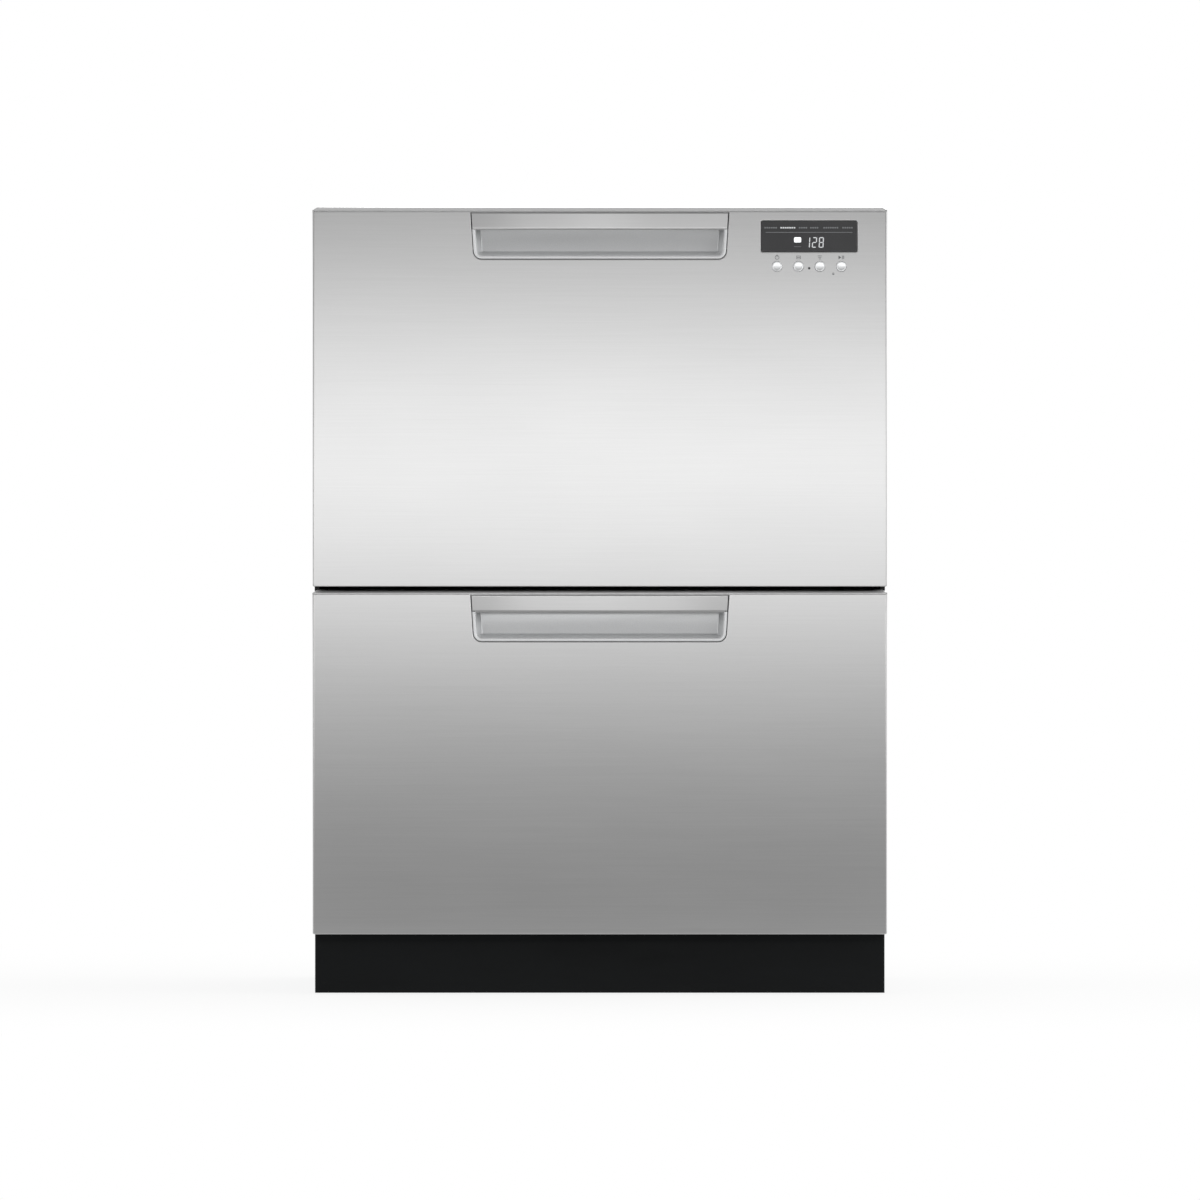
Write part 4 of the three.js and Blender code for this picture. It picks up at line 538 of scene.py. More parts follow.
def rounded(u, v, radius, steps=6, high_radius=None):
    """Corner-rounded rectangle over two spans, anticlockwise, as (u, v) pairs."""
    high_radius = radius if high_radius is None else high_radius
    corners = [
        (u[0] + radius, v[0] + radius, radius, math.pi),
        (u[1] - radius, v[0] + radius, radius, 1.5 * math.pi),
        (u[1] - high_radius, v[1] - high_radius, high_radius, 0),
        (u[0] + high_radius, v[1] - high_radius, high_radius, 0.5 * math.pi),
    ]
    points = []
    for cu, cv, r, start in corners:
        for i in range(steps + 1):
            angle = start + i / steps * math.pi / 2
            points.append((cu + r * math.cos(angle), cv + r * math.sin(angle)))
    return points


def about(centre, size):
    """The span of that size about a centre."""
    return (centre - size / 2, centre + size / 2)


def turn_angles(count):
    return [2 * math.pi * i / count for i in range(count)]


def circle(centre, radius, steps=32):
    """A round outline in (x, z)."""
    return [
        (centre.x + radius * math.cos(a), centre.z + radius * math.sin(a))
        for a in turn_angles(steps)
    ]


def bent(points, radius, steps=4, is_loop=False):
    """A path whose corners are rounded to the radius, as a bent wire's are."""
    path = [Vector(p) for p in points]
    count = len(path)
    made = []
    for i, corner in enumerate(path):
        if not is_loop and i in (0, count - 1):
            made.append(corner)
            continue
        before = path[i - 1] - corner
        after = path[(i + 1) % count] - corner
        angle = before.angle(after)
        if angle > math.pi - 0.05:
            made.append(corner)
            continue
        reach = min(radius / math.tan(angle / 2), before.length * 0.48, after.length * 0.48)
        start = corner + before.normalized() * reach
        end = corner + after.normalized() * reach
        for k in range(steps + 1):
            t = k / steps
            made.append(start * (1 - t) ** 2 + corner * 2 * t * (1 - t) + end * t**2)
    return made


def wires(name, paths):
    """One mesh of round wires; paths are (points, radius, is_loop)."""
    bm = bmesh.new()
    for points, radius, is_loop in paths:
        curve = bpy.data.curves.new(name, "CURVE")
        curve.dimensions = "3D"
        curve.bevel_depth = radius
        curve.bevel_resolution = 2
        curve.use_fill_caps = True
        spline = curve.splines.new("POLY")
        spline.points.add(len(points) - 1)
        for target, point in zip(spline.points, points):
            target.co = (*point, 1.0)
        spline.use_cyclic_u = is_loop
        holder = bpy.data.objects.new(name, curve)
        mesh = bpy.data.meshes.new_from_object(holder)
        bm.from_mesh(mesh)
        bpy.data.objects.remove(holder)
        bpy.data.curves.remove(curve)
        bpy.data.meshes.remove(mesh)
    return bm


def make_piece(name, bm, finish, body, replaces=(), sharp=35, thickness=0.0):
    """Turns the mesh under work into a finished piece that rides on a body of the frame."""
    bmesh.ops.remove_doubles(bm, verts=bm.verts[:], dist=0.002 * MM)
    bmesh.ops.recalc_face_normals(bm, faces=bm.faces[:])
    mesh = bpy.data.meshes.new(name)
    bm.to_mesh(mesh)
    bm.free()
    mesh.shade_smooth()
    mesh.set_sharp_from_angle(angle=math.radians(sharp))
    mesh.materials.append(finish_of(finish))
    piece = bpy.data.objects.new(name, mesh)
    bpy.context.scene.collection.objects.link(piece)
    if thickness:
        wall = piece.modifiers.new("wall", "SOLIDIFY")
        wall.thickness = thickness
        wall.offset = -1.0
        wall.use_even_offset = False
    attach(piece, body)
    if replaces:
        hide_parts(*replaces)
    return piece


def dress(nodes, finish):
    """Gives CAD nodes whose shape is right their finish."""
    for node in nodes:
        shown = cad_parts[node]
        shown.data.materials.clear()
        shown.data.materials.append(finish_of(finish))


# ---------------------------------------------------------------- drawer fronts
FOOT_RADIUS = 1.5 * MM  # of the fronts' lower corners
MITRE = 5 * MM  # how far in the roll's ends are cut
GROOVE_DEPTH = 2.2 * MM  # of the line under the roll


def front_ring(span, side_inset, side_y, top_inset, top_y):
    """The front's outline at one step of its folds; the top corners are mitred."""
    bottom, top = span
    half = FRONT_HALF - side_inset
    foot = bottom + side_inset * 0.55
    crown = top - top_inset
    shoulder = top - max(sizes().roll_height, top_inset)
    rise = crown - shoulder
    cut = MITRE * max(0.0, rise / sizes().roll_height)
    right = []
    for i in range(5):
        angle = math.pi / 2 * (1 - i / 4)
        x = half - FOOT_RADIUS + FOOT_RADIUS * math.cos(angle)
        right.append((x, side_y, foot + FOOT_RADIUS - FOOT_RADIUS * math.sin(angle)))
    right.append((half, side_y, shoulder))
    right.append((half - cut * 0.35, (side_y + top_y) / 2, shoulder + rise * 0.6))
    right.append((half - cut, top_y, crown))
    left = [(-x, y, z) for x, y, z in reversed(right)]
    return [(x, FACE_Y + y, z) for x, y, z in right + left]


def front_steps():
    """(side inset, side depth, top inset, top depth) from the face round the folds to the back."""
    bend, roll, depth = sizes().bend, sizes().roll_height, sizes().roll_depth
    steps = [
        (bend + 0.5 * MM, 0, roll + 1.15 * MM, 0),
        (bend, 0, roll + 1.05 * MM, 0),
        (bend * 0.8, bend * 0.02, roll + 0.7 * MM, 0.1 * MM),
        (bend * 0.62, bend * 0.075, roll + 0.5 * MM, 0.5 * MM),
        (bend * 0.45, bend * 0.165, roll + 0.4 * MM, GROOVE_DEPTH),
        (bend * 0.29, bend * 0.29, roll - 0.45 * MM, GROOVE_DEPTH),
        (bend * 0.165, bend * 0.45, roll - 0.5 * MM, 0.7 * MM),
    ]
    # The roll leaves its groove already leaning back 20 degrees and ends level.
    arc, lean = 8, math.radians(20)
    for i in range(arc + 1):
        angle = lean + i / arc * (math.pi / 2 - lean)
        side = bend * 0.165 * (1 - i / arc)
        side_y = bend * 0.45 + (depth - bend * 0.45) * i / arc
        inset = (roll - 0.5 * MM) * (1 - math.sin(angle)) / (1 - math.sin(lean))
        top_y = 0.3 * MM + (depth - 0.3 * MM) * (1 - math.cos(angle) / math.cos(lean))
        steps.append((side, side_y, inset, top_y))
    back = BACK_Y - FACE_Y
    return [*steps, (0, back, 0, back)]


def handle_lean():
    """How far each end of the handle goes out for each metre that it goes up."""
    return (sizes().handle_top_width - sizes().handle_bottom_width) / 2 / sizes().handle_height


def handle_outline(name, grow=0.0):
    """The handle's cut-out in (x, z), open side up, grown by a margin."""
    under_roll = SPAN_Z[name][1] - sizes().roll_height
    top = under_roll - 1.3 * MM + min(grow, 0.0)
    bottom = under_roll - sizes().handle_height - grow
    radius = max(sizes().handle_corner + grow, 0.8 * MM)

    def half_at(z):
        return sizes().handle_bottom_width / 2 + grow + (z - bottom) * handle_lean()

    centre = half_at(bottom + radius) - radius
    # Two points at the grip's foot let the pocket dive behind the grip just there.
    grip_foot = low(f"{name}_handle_grip").z
    right = [(half_at(z), z) for z in (top, grip_foot + 1.2 * MM, grip_foot + 0.6 * MM)]
    steps = 8
    for i in range(steps + 1):
        angle = i / steps * math.pi / 2
        x = centre + radius * math.cos(angle)
        right.append((x, bottom + radius * (1 - math.sin(angle))))
    left = [(-x, z) for x, z in reversed(right)]
    return right + left


def hole_edges(bm, outline, rim=1.0):
    """A rounded edge turned in round a hole in the face; returns the loop that meets the face."""
    # How far out of the hole and behind the face, in rims of a millimetre.
    steps = [(1.2, 0.0), (1.0, 0.0), (0.62, 0.07), (0.3, 0.26), (0.08, 0.6), (0.0, 1.1)]
    rings = []
    for grow, depth in steps:
        y = FACE_Y + depth * rim * MM
        rings.append([(x, y, z) for x, z in outline(grow * rim * MM)])
    return lofted(bm, rings)[0]


def display_outline(grow=0.0):
    """The display window in (x, z), grown by a margin."""
    u = about(DISPLAY_CENTRE.x, sizes().display_width + 2 * grow)
    v = about(DISPLAY_CENTRE.z, sizes().display_height + 2 * grow)
    corner = 1.6 * MM
    return rounded(u, v, corner + max(grow, -corner / 2), 5)


def build_front(name):
    """The folded steel skin with its roll, its handle cut-out and the controls' holes."""
    bm = bmesh.new()
    face, _ = lofted(bm, [front_ring(SPAN_Z[name], *step) for step in front_steps()])
    gap = 0.3 * MM
    holes = [hole_edges(bm, lambda grow: handle_outline(name, grow + 2 * gap), 0.8)]
    if name == "upper":
        holes.append(hole_edges(bm, lambda grow: display_outline(grow + gap)))
        for button in BUTTONS:
            centre = middle(button)
            radius = sizes().button_diameter / 2 + gap
            holes.append(hole_edges(bm, lambda grow: circle(centre, radius + grow), 0.5))
    filled(bm, face, *holes)
    node, body = f"{name}_front_panel", f"{name}_drawer"
    sheet = sizes().sheet
    make_piece(f"{name}_front_skin", bm, "stainless", body, [node], sharp=50, thickness=sheet)


def build_pocket(name):
    """The scoop behind the grip, with the flush lip round it."""
    bm = bmesh.new()
    node, body = f"{name}_handle_pocket", f"{name}_drawer"
    depth = high(node).y - FACE_Y - 1.4 * MM
    lip, lip_edge = 2.5 * MM, 0.4 * MM
    steps = [(0, 2.2 * MM), (0, 0.35 * MM), (0.12 * MM, 0.12 * MM), (lip_edge, 0)]
    steps += [(2.05 * MM, 0), (2.35 * MM, 0.12 * MM), (lip, lip_edge)]
    # A soft scoop: the wall leaves the lip and meets the floor in one S-shaped sweep.
    fall, sweep, count = depth - lip_edge, 6 * MM, 12
    for i in range(1, count + 1):
        share = i / count
        y = lip_edge + fall * (1 - math.cos(share * math.pi)) / 2
        steps.append((lip + sweep * share, y))
    # The lip dives behind the grip's steel strip.
    dive, dive_above = 2.3 * MM, low(f"{name}_handle_grip").z + 0.9 * MM
    outlines = []
    for inset, y in steps:
        outline = handle_outline(name, -inset)
        behind = FACE_Y + y
        outlines.append([(x, behind + (dive if z > dive_above else 0), z) for x, z in outline])
    _, floor = lofted(bm, outlines)
    filled(bm, floor)
    make_piece(f"{name}_handle_scoop", bm, "pocket", body, [node], sharp=60, thickness=1.2 * MM)


# How far the grip's lower edge lies behind its upper one, from left to right. A hand-polished
# strip is never quite flat, and its reflections drift along it.
GRIP_TWIST = {
    "upper": (-0.26 * MM, 0.12 * MM, 0.30 * MM, 0.12 * MM, 0.12 * MM),
    "lower": (0.52 * MM, 0.14 * MM, 0.08 * MM, 0.17 * MM, 0.46 * MM),
}


def grip_twist(name, share):
    """The twist at a share of the grip's length, eased between the marks."""
    marks = GRIP_TWIST[name]
    place = share * (len(marks) - 1)
    i = min(int(place), len(marks) - 2)
    t = place - i
    t = t * t * (3 - 2 * t)
    return marks[i] * (1 - t) + marks[i + 1] * t


def build_grip(name):
    """The steel strip across the top of the handle, rolled under along its lower edge."""
    bm = bmesh.new()
    node = f"{name}_handle_grip"
    top, bottom = handle_outline(name)[0][1] - 0.3 * MM, low(node).z
    back, roll = 1.4 * MM, 1.7 * MM
    profile = [(0.9 * MM, top), (0.35 * MM, top - 0.12 * MM), (0.08 * MM, top - 0.5 * MM)]
    profile += [(0.0, top - 0.9 * MM), (0.0, top - 1.3 * MM)]
    profile += [(0.0, bottom + roll + 1.0 * MM), (0.0, bottom + roll + 0.4 * MM)]
    for i in range(1, 7):
        angle = i / 6 * math.pi / 2
        profile.append((roll * (1 - math.cos(angle)), bottom + roll * (1 - math.sin(angle))))
    hook = high(node).y - FACE_Y
    profile += [(hook - 0.3 * MM, bottom), (hook, bottom + 0.3 * MM), (hook, bottom + back)]
    profile += [(back + 0.8 * MM, bottom + back), (back, bottom + back + 0.8 * MM), (back, top)]
    side_gap, hook_inset, count = 0.45 * MM, 3.2 * MM, 24
    half_top, z_top = handle_outline(name, -side_gap)[0]
    rings = []
    for i in range(count + 1):
        share = i / count
        loop = []
        for y, z in profile:
            half = half_top - (z_top - z) * handle_lean() - (hook_inset if y > back else 0)
            twist = grip_twist(name, share) * (top - z) / (top - bottom)
            loop.append(((share * 2 - 1) * half, FACE_Y + y + twist, z))
        rings.append(loop)
    for end in lofted(bm, rings):
        bmesh.ops.edgeloop_fill(bm, edges=end)
    make_piece(f"{name}_grip_strip", bm, "grip_steel", f"{name}_drawer", [node], sharp=50)


class BuildFronts(bpy.types.Operator):
    """Builds both drawer fronts with their handle pockets and grips"""

    bl_idname = "dishwasher.fronts"
    bl_label = "Drawer fronts"

    def execute(self, context):
        for name in DRAWERS:
            build_front(name)
            build_pocket(name)
            build_grip(name)
            dress([f"{name}_front_liner"], "black")
        return {"FINISHED"}


# ---------------------------------------------------------------- display and buttons
def build_lens():
    """The window, with a softly rounded front edge."""
    bm = bmesh.new()
    steps = [(0.0, 3.6), (0.0, 0.35), (-0.1, 0.12), (-0.35, 0.0), (-0.6, 0.0)]
    outlines = [
        [(x, FACE_Y + depth * MM, z) for x, z in display_outline(grow * MM)]
        for grow, depth in steps
    ]
    for end in lofted(bm, outlines):
        filled(bm, end)
    make_piece("display_window", bm, "display", "upper_drawer", ["display_lens"], sharp=50)


def build_button(node):
    """A round cap with a dished face inside a thin raised rim."""
    bm = bmesh.new()
    centre = middle(node)
    radius = sizes().button_diameter / 2
    front = low(node).y
    depth = high(node).y - front
    flange, flange_thick = 1.4 * MM, 1.5 * MM
    # How far in from the edge and behind the rim, in millimetres.
    face = [(2.2, 0.17), (1.5, 0.09), (1.0, 0.01), (0.7, 0.0), (0.25, 0.12), (0, 0.45)]
    points = [(0, 0.2 * MM), *((radius - inset * MM, y * MM) for inset, y in face)]
    points += [(radius, depth - flange_thick), (radius + flange, depth - flange_thick)]
    points += [(radius + flange, depth), (0, depth)]
    add_turned(bm, points, (centre.x, front, centre.z), "y", 40)
    make_piece(f"{node}_cap", bm, "button", node, [node], sharp=40)


# A printed mark stands just proud of the fronts' face and ends behind it.
MARK_FRONT, MARK_BACK = FACE_Y - 0.04 * MM, FACE_Y + 0.12 * MM


def add_mark(bm, outline):
    """A flat printed shape on the fronts' face."""
    for end in lofted(bm, [[(x, y, z) for x, z in outline] for y in (MARK_FRONT, MARK_BACK)]):
        filled(bm, end)


def add_bar(bm, x, z):
    """A printed bar over two spans, with softened corners."""
    add_mark(bm, rounded(x, z, min(x[1] - x[0], z[1] - z[0]) * 0.2, 2))


def add_outline_mark(bm, outer, inner):
    """A flat printed ring between two outlines of equally many points."""
    steps = [(MARK_FRONT, outer), (MARK_FRONT, inner), (MARK_BACK, inner), (MARK_BACK, outer)]
    steps.append((MARK_FRONT, outer))
    lofted(bm, [[(x, y, z) for x, z in shape] for y, shape in steps])


# The strokes that each digit of the display lights.
SEGMENTS = {"1": "bc", "2": "abdeg", "8": "abcdefg"}


def add_digit(bm, digit, x, z):
    """A seven-segment digit, 5 by 11 mm, whose lower left corner is at (x, z)."""
    wide, tall, thick, lean = 5.0 * MM, 11 * MM, 1.0 * MM, 0.05
    half = tall / 2
    strokes = {
        "a": ((thick, wide - thick), (tall - thick, tall)),
        "g": ((thick, wide - thick), about(half, thick)),
        "d": ((thick, wide - thick), (0, thick)),
        "b": ((wide - thick, wide), (half + 0.2 * MM, tall - 0.4 * MM)),
        "c": ((wide - thick, wide), (0.4 * MM, half - 0.2 * MM)),
        "f": ((0, thick), (half + 0.2 * MM, tall - 0.4 * MM)),
        "e": ((0, thick), (0.4 * MM, half - 0.2 * MM)),
    }
    for segment in SEGMENTS[digit]:
        u, v = strokes[segment]
        add_mark(bm, [(x + a + b * lean, z + b) for a, b in rounded(u, v, thick * 0.3, 2)])


def build_display_marks():
    """Generic dashes, a line, a square and plain digits on the window's face."""
    left = about(DISPLAY_CENTRE.x, sizes().display_width)[0]
    top = about(DISPLAY_CENTRE.z, sizes().display_height)[1]
    bright, lit, dim = bmesh.new(), bmesh.new(), bmesh.new()
    # Six rows of short dashes: where each starts, in millimetres, and how many it has.
    rows = ((3.2, 6), (20.0, 7), (39.2, 4), (50.9, 4), (64.7, 7), (84.4, 5))
    dash, pitch, lit_row = 1.7 * MM, 2.3 * MM, 1
    for i, (start, count) in enumerate(rows):
        for k in range(count):
            x = left + start * MM + k * pitch
            add_bar(lit if i == lit_row else dim, (x, x + dash), about(top - 6.9 * MM, 1.5 * MM))
    add_bar(dim, (left + 4.7 * MM, left + 95 * MM), about(top - 11.7 * MM, 0.6 * MM))
    square = (left + 34.2 * MM, left + 41.6 * MM)
    add_bar(bright, square, about(top - 19.5 * MM, 5.4 * MM))
    add_bar(dim, square, about(top - 26.6 * MM, 0.4 * MM))
    for i, digit in enumerate("128"):
        add_digit(lit, digit, left + (45.6 + 7.1 * i) * MM, top - 27.7 * MM)
    make_piece("display_square", bright, "bright", "upper_drawer")
    make_piece("display_lit_strokes", lit, "lit", "upper_drawer")
    make_piece("display_dim_strokes", dim, "dim", "upper_drawer")


def build_symbols():
    """A power ring, two drawers, three bars, play and pause, a lock, and the receiver's lens."""
    bm = bmesh.new()
    power, drawer, programme, start = (middle(button) for button in BUTTONS)
    z = power.z + 9.3 * MM
    ring_centre = Vector((power.x, 0, z))
    add_outline_mark(bm, circle(ring_centre, 2.3 * MM, 20), circle(ring_centre, 1.75 * MM, 20))
    add_bar(bm, about(power.x, 0.55 * MM), (z + 0.2 * MM, z + 3.0 * MM))
    for row in (-0.9 * MM, 0.9 * MM):
        outer = rounded(about(drawer.x, 4.6 * MM), about(z + row, 1.6 * MM), 0.2 * MM, 2)
        inner = rounded(about(drawer.x, 3.7 * MM), about(z + row, 0.8 * MM), 0.1 * MM, 2)
        add_outline_mark(bm, outer, inner)
    for i in range(3):
        width, rise = (4.4 - 1.2 * i) * MM, (1.6 - 1.6 * i) * MM
        add_bar(bm, about(programme.x, width), about(z + rise, 0.6 * MM))
    left, half = start.x - 2.9 * MM, 1.9 * MM
    add_mark(bm, [(left, z - half), (left + 2.8 * MM, z), (left, z + half)])
    for offset in (1.1 * MM, 2.5 * MM):
        add_bar(bm, about(start.x + offset, 0.7 * MM), about(z, 3.6 * MM))
    lock = start - Vector((8.3 * MM, 0, 8.2 * MM))
    add_bar(bm, about(lock.x, 2.2 * MM), about(lock.z, 1.0 * MM))
    shackle = lock + Vector((0, 0, 0.9 * MM))
    add_outline_mark(bm, circle(shackle, 0.9 * MM, 16), circle(shackle, 0.6 * MM, 16))
    lens = bmesh.new()
    add_mark(lens, circle((drawer + programme) / 2 - Vector((0, 0, 2 * MM)), 1.3 * MM, 20))
    make_piece("receiver_lens", lens, "black", "upper_drawer")
    make_piece("panel_symbols", bm, "print", "upper_drawer")


class BuildControls(bpy.types.Operator):
    """Builds the display window with its strokes, the buttons and their symbols"""

    bl_idname = "dishwasher.controls"
    bl_label = "Display and buttons"

    def execute(self, context):
        build_lens()
        build_display_marks()
        for node in BUTTONS:
            build_button(node)
        build_symbols()
        return {"FINISHED"}


# ---------------------------------------------------------------- cabinet
def build_toe_kick():
    """The folded black sheet under the fronts, with two returns, down to just above the floor."""
    bm = bmesh.new()
    lowest, highest = low("toe_kick"), high("toe_kick")
    sheet, radius, floor_gap = 1.5 * MM, 2 * MM, 0.5 * MM
    right = []
    for i in range(5):
        angle = i / 4 * math.pi / 2
        x = highest.x - radius * (1 - math.sin(angle))
        right.append((x, lowest.y + radius * (1 - math.cos(angle))))
    right += [(highest.x, highest.y), (highest.x - sheet, highest.y)]
    right.append((highest.x - sheet, lowest.y + sheet))
    section = right + [(-x, y) for x, y in reversed(right)]
    outlines = [[(x, y, z) for x, y in section] for z in (floor_gap, highest.z)]
    for end in lofted(bm, outlines):
        filled(bm, end)
    make_piece("toe_kick_sheet", bm, "powder", "chassis", ["toe_kick"], sharp=40)


def build_screws():
    """The screws along both sides of the back panel."""
    bm = bmesh.new()
    sheet_y = high("back_panel").y - 4.6 * MM
    bottom, top = low("back_panel").z, high("back_panel").z
    head = [(0, 2.4), (2.2, 2.4), (3.4, 1.6), (3.6, 0), (0, 0)]
    profile = [(r * MM, h * MM) for r, h in head]
    for side in SIDES.values():
        x = side * (high("side_panel_right").x - 9 * MM)
        for share in (0.12, 0.37, 0.63, 0.88):
            place = Vector((x, sheet_y, bottom + share * (top - bottom)))
            add_turned(bm, profile, place, "y", 16)
    make_piece("panel_screws", bm, "zinc", "chassis")


def build_foot(node):
    """A levelling foot: a moulded pad with a hexagon, and a threaded zinc stud."""
    centre, radius = middle(node), (high(node).x - low(node).x) / 2
    bottom, top = low(node).z, high(node).z
    pad, nut = 8 * MM, 6 * MM
    bm = bmesh.new()
    profile = [(0, 0), (radius - 1.5 * MM, 0), (radius, 1.5 * MM), (radius, 4.5 * MM)]
    profile += [(radius - 1.2 * MM, 5.6 * MM), (12 * MM, pad - 0.6 * MM)]
    profile += [(10 * MM, pad), (0, pad)]
    add_turned(bm, profile, (centre.x, centre.y, bottom), "z", 40)
    hexagon = [(0, 0), (8.4 * MM, 0), (8.4 * MM, nut - 0.5 * MM), (7.4 * MM, nut), (0, nut)]
    add_turned(bm, hexagon, (centre.x, centre.y, bottom + pad - 0.2 * MM), "z", 6)
    make_piece(f"{node}_pad", bm, "black", node, [node])
    bm = bmesh.new()
    stud_bottom = bottom + pad + 5.6 * MM
    length = top - stud_bottom
    pitch, root, crest = 1.5 * MM, 4.3 * MM, 5 * MM
    profile = [(0, 0)]
    for i in range(int((length - 2 * MM) / pitch)):
        profile += [(root, (i + 0.1) * pitch), (crest, (i + 0.5) * pitch)]
        profile.append((root, (i + 0.9) * pitch))
    profile += [(root, length - 1 * MM), (root - 1 * MM, length), (0, length)]
    add_turned(bm, profile, (centre.x, centre.y, stud_bottom), "z", 20)
    make_piece(f"{node}_stud", bm, "zinc", node, sharp=70)


class BuildCabinet(bpy.types.Operator):
    """Builds the toe kick, the feet and the screws, and gives the cabinet's panels their finish"""

    bl_idname = "dishwasher.cabinet"
    bl_label = "Cabinet and feet"

    def execute(self, context):
        build_toe_kick()
        build_screws()
        for end in ("front", "rear"):
            for side in SIDES:
                build_foot(f"foot_{end}_{side}")
        dress(["side_panel_left", "side_panel_right", "top_panel", "back_panel"], "galvanised")
        dress(["base_pan", "crossmember"], "galvanised")
        dress(["front_seal"], "rubber")
        dress(["service_plate"], "black")
        for name in DRAWERS:
            dress([f"{name}_lid"], "tub")
            dress([f"{name}_lid_seal"], "rubber")
            dress([f"{name}_lid_actuator_{side}" for side in SIDES], "black")
            for part in ("middle", "inner"):
                dress([f"{name}_runner_{side}_{part}" for side in SIDES], "zinc")
        return {"FINISHED"}


# ---------------------------------------------------------------- tubs and wash system
TUB_WALL, TUB_OVERHANG, TUB_DRAFT, TUB_CORNER = 3.2 * MM, 9 * MM, 6 * MM, 52 * MM
TUB_DEPTH = 244 * MM
SHOULDER = 43 * MM  # from the tub's front to its cavity
CAP_RADIUS, CAP_DROP = 15 * MM, 66 * MM


def tub_body(name):
    """Half the width, the front and the back of the tub under its rim."""
    node = f"{name}_tub"
    return high(node).x - TUB_OVERHANG, low(node).y, high(node).y - TUB_OVERHANG


def tub_outline(z, half, front, back, front_radius, back_radius=None):
    """A corner-rounded outline of the tub at height z, in the drawer's place."""
    corners = rounded((-half, half), (front, back), front_radius, 12, back_radius)
    return [(x, y, z) for x, y in corners]


def carved(bm, cutters):
    """The mesh under work less the cutters' boxes, as a new mesh."""
    objects = []
    for each in (bm, cutters):
        mesh = bpy.data.meshes.new("carving")
        bmesh.ops.recalc_face_normals(each, faces=each.faces[:])
        each.to_mesh(mesh)
        each.free()
        objects.append(bpy.data.objects.new("carving", mesh))
        bpy.context.scene.collection.objects.link(objects[-1])
    body, tool = objects
    cut = body.modifiers.new("cut", "BOOLEAN")
    cut.operation = "DIFFERENCE"
    cut.object = tool
    shown = body.evaluated_get(bpy.context.evaluated_depsgraph_get())
    result = bmesh.new()
    result.from_mesh(shown.to_mesh())
    for each in objects:
        mesh = each.data
        bpy.data.objects.remove(each)
        bpy.data.meshes.remove(mesh)
    return result


def tub_outlines(name):
    """The tub's outlines from under its sump, up its outside, over the rim and down the inside."""
    rim, rim_half, rim_back = RIM_Z[name], high(f"{name}_tub").x, high(f"{name}_tub").y
    half, front, back = tub_body(name)
    cavity_half, cavity_front, cavity_back = half - TUB_WALL, front + SHOULDER, back - TUB_WALL
    depth, draft, corner = TUB_DEPTH, TUB_DRAFT, TUB_CORNER
    corner_out = corner + TUB_WALL
    sump, sump_top = 94 * MM, depth + 5 * MM
    pit, pit_bottom = 81 * MM, depth + 24 * MM
    filter_seat = sump_top + 2.6 * MM
    under = TUB_WALL + 0.8 * MM

    def round_ring(drop, radius):
        return tub_outline(rim - drop, radius, SUMP_Y - radius, SUMP_Y + radius, radius)

    def outer(drop, inset, front_inset, front_radius, back_radius):
        spans = (half - inset, front + front_inset, back - inset)
        return tub_outline(rim - drop, *spans, front_radius, back_radius)

    def inner(drop, inset, radius):
        spans = (cavity_half - inset, cavity_front + max(0.0, inset - draft), cavity_back - inset)
        return tub_outline(rim - drop, *spans, radius)

    def mouth(drop, grow):
        spans = (cavity_half + grow, cavity_front - grow, cavity_back + grow)
        return tub_outline(rim - drop, *spans, corner)

    def rim_ring(drop, inset, back_radius):
        spans = (rim_half - inset, front + inset, rim_back - inset)
        return tub_outline(rim - drop, *spans, 6 * MM, back_radius)

    return [
        round_ring(pit_bottom + under, pit + TUB_WALL - 4 * MM),
        round_ring(pit_bottom + under - 3 * MM, pit + TUB_WALL),
        round_ring(sump_top + under, sump + TUB_WALL),
        outer(depth + under, draft + 30 * MM, 26 * MM, 24 * MM, corner_out - 24 * MM),
        outer(depth - 2 * MM, draft + 14 * MM, 10 * MM, 18 * MM, corner_out - 10 * MM),
        outer(depth - 10 * MM, draft + 6 * MM, 4 * MM, 12 * MM, corner_out - 4 * MM),
        outer(depth - 34 * MM, draft, 0, 10 * MM, corner_out),
        outer(12 * MM, 0, 0, 10 * MM, corner_out),
        rim_ring(12 * MM, 0, corner_out + 8 * MM),
        rim_ring(1.5 * MM, 0, corner_out + 8 * MM),
        rim_ring(0.5 * MM, 0.4 * MM, corner_out + 7.7 * MM),
        rim_ring(0, 1.5 * MM, corner_out + 7 * MM),
        mouth(0, 2 * MM),
        mouth(0.9 * MM, 0.6 * MM),
        inner(3 * MM, 0, corner),
        inner(depth - 34 * MM, draft, corner),
        inner(depth - 18 * MM, draft + 2.5 * MM, corner - 2 * MM),
        inner(depth - 10 * MM, draft + 7 * MM, corner - 5 * MM),
        inner(depth - 3 * MM, draft + 17 * MM, corner - 12 * MM),
        inner(depth, draft + 30 * MM, corner - 20 * MM),
        round_ring(sump_top, sump),
        round_ring(filter_seat, sump),
        round_ring(filter_seat, pit),
        round_ring(pit_bottom, pit),
    ]


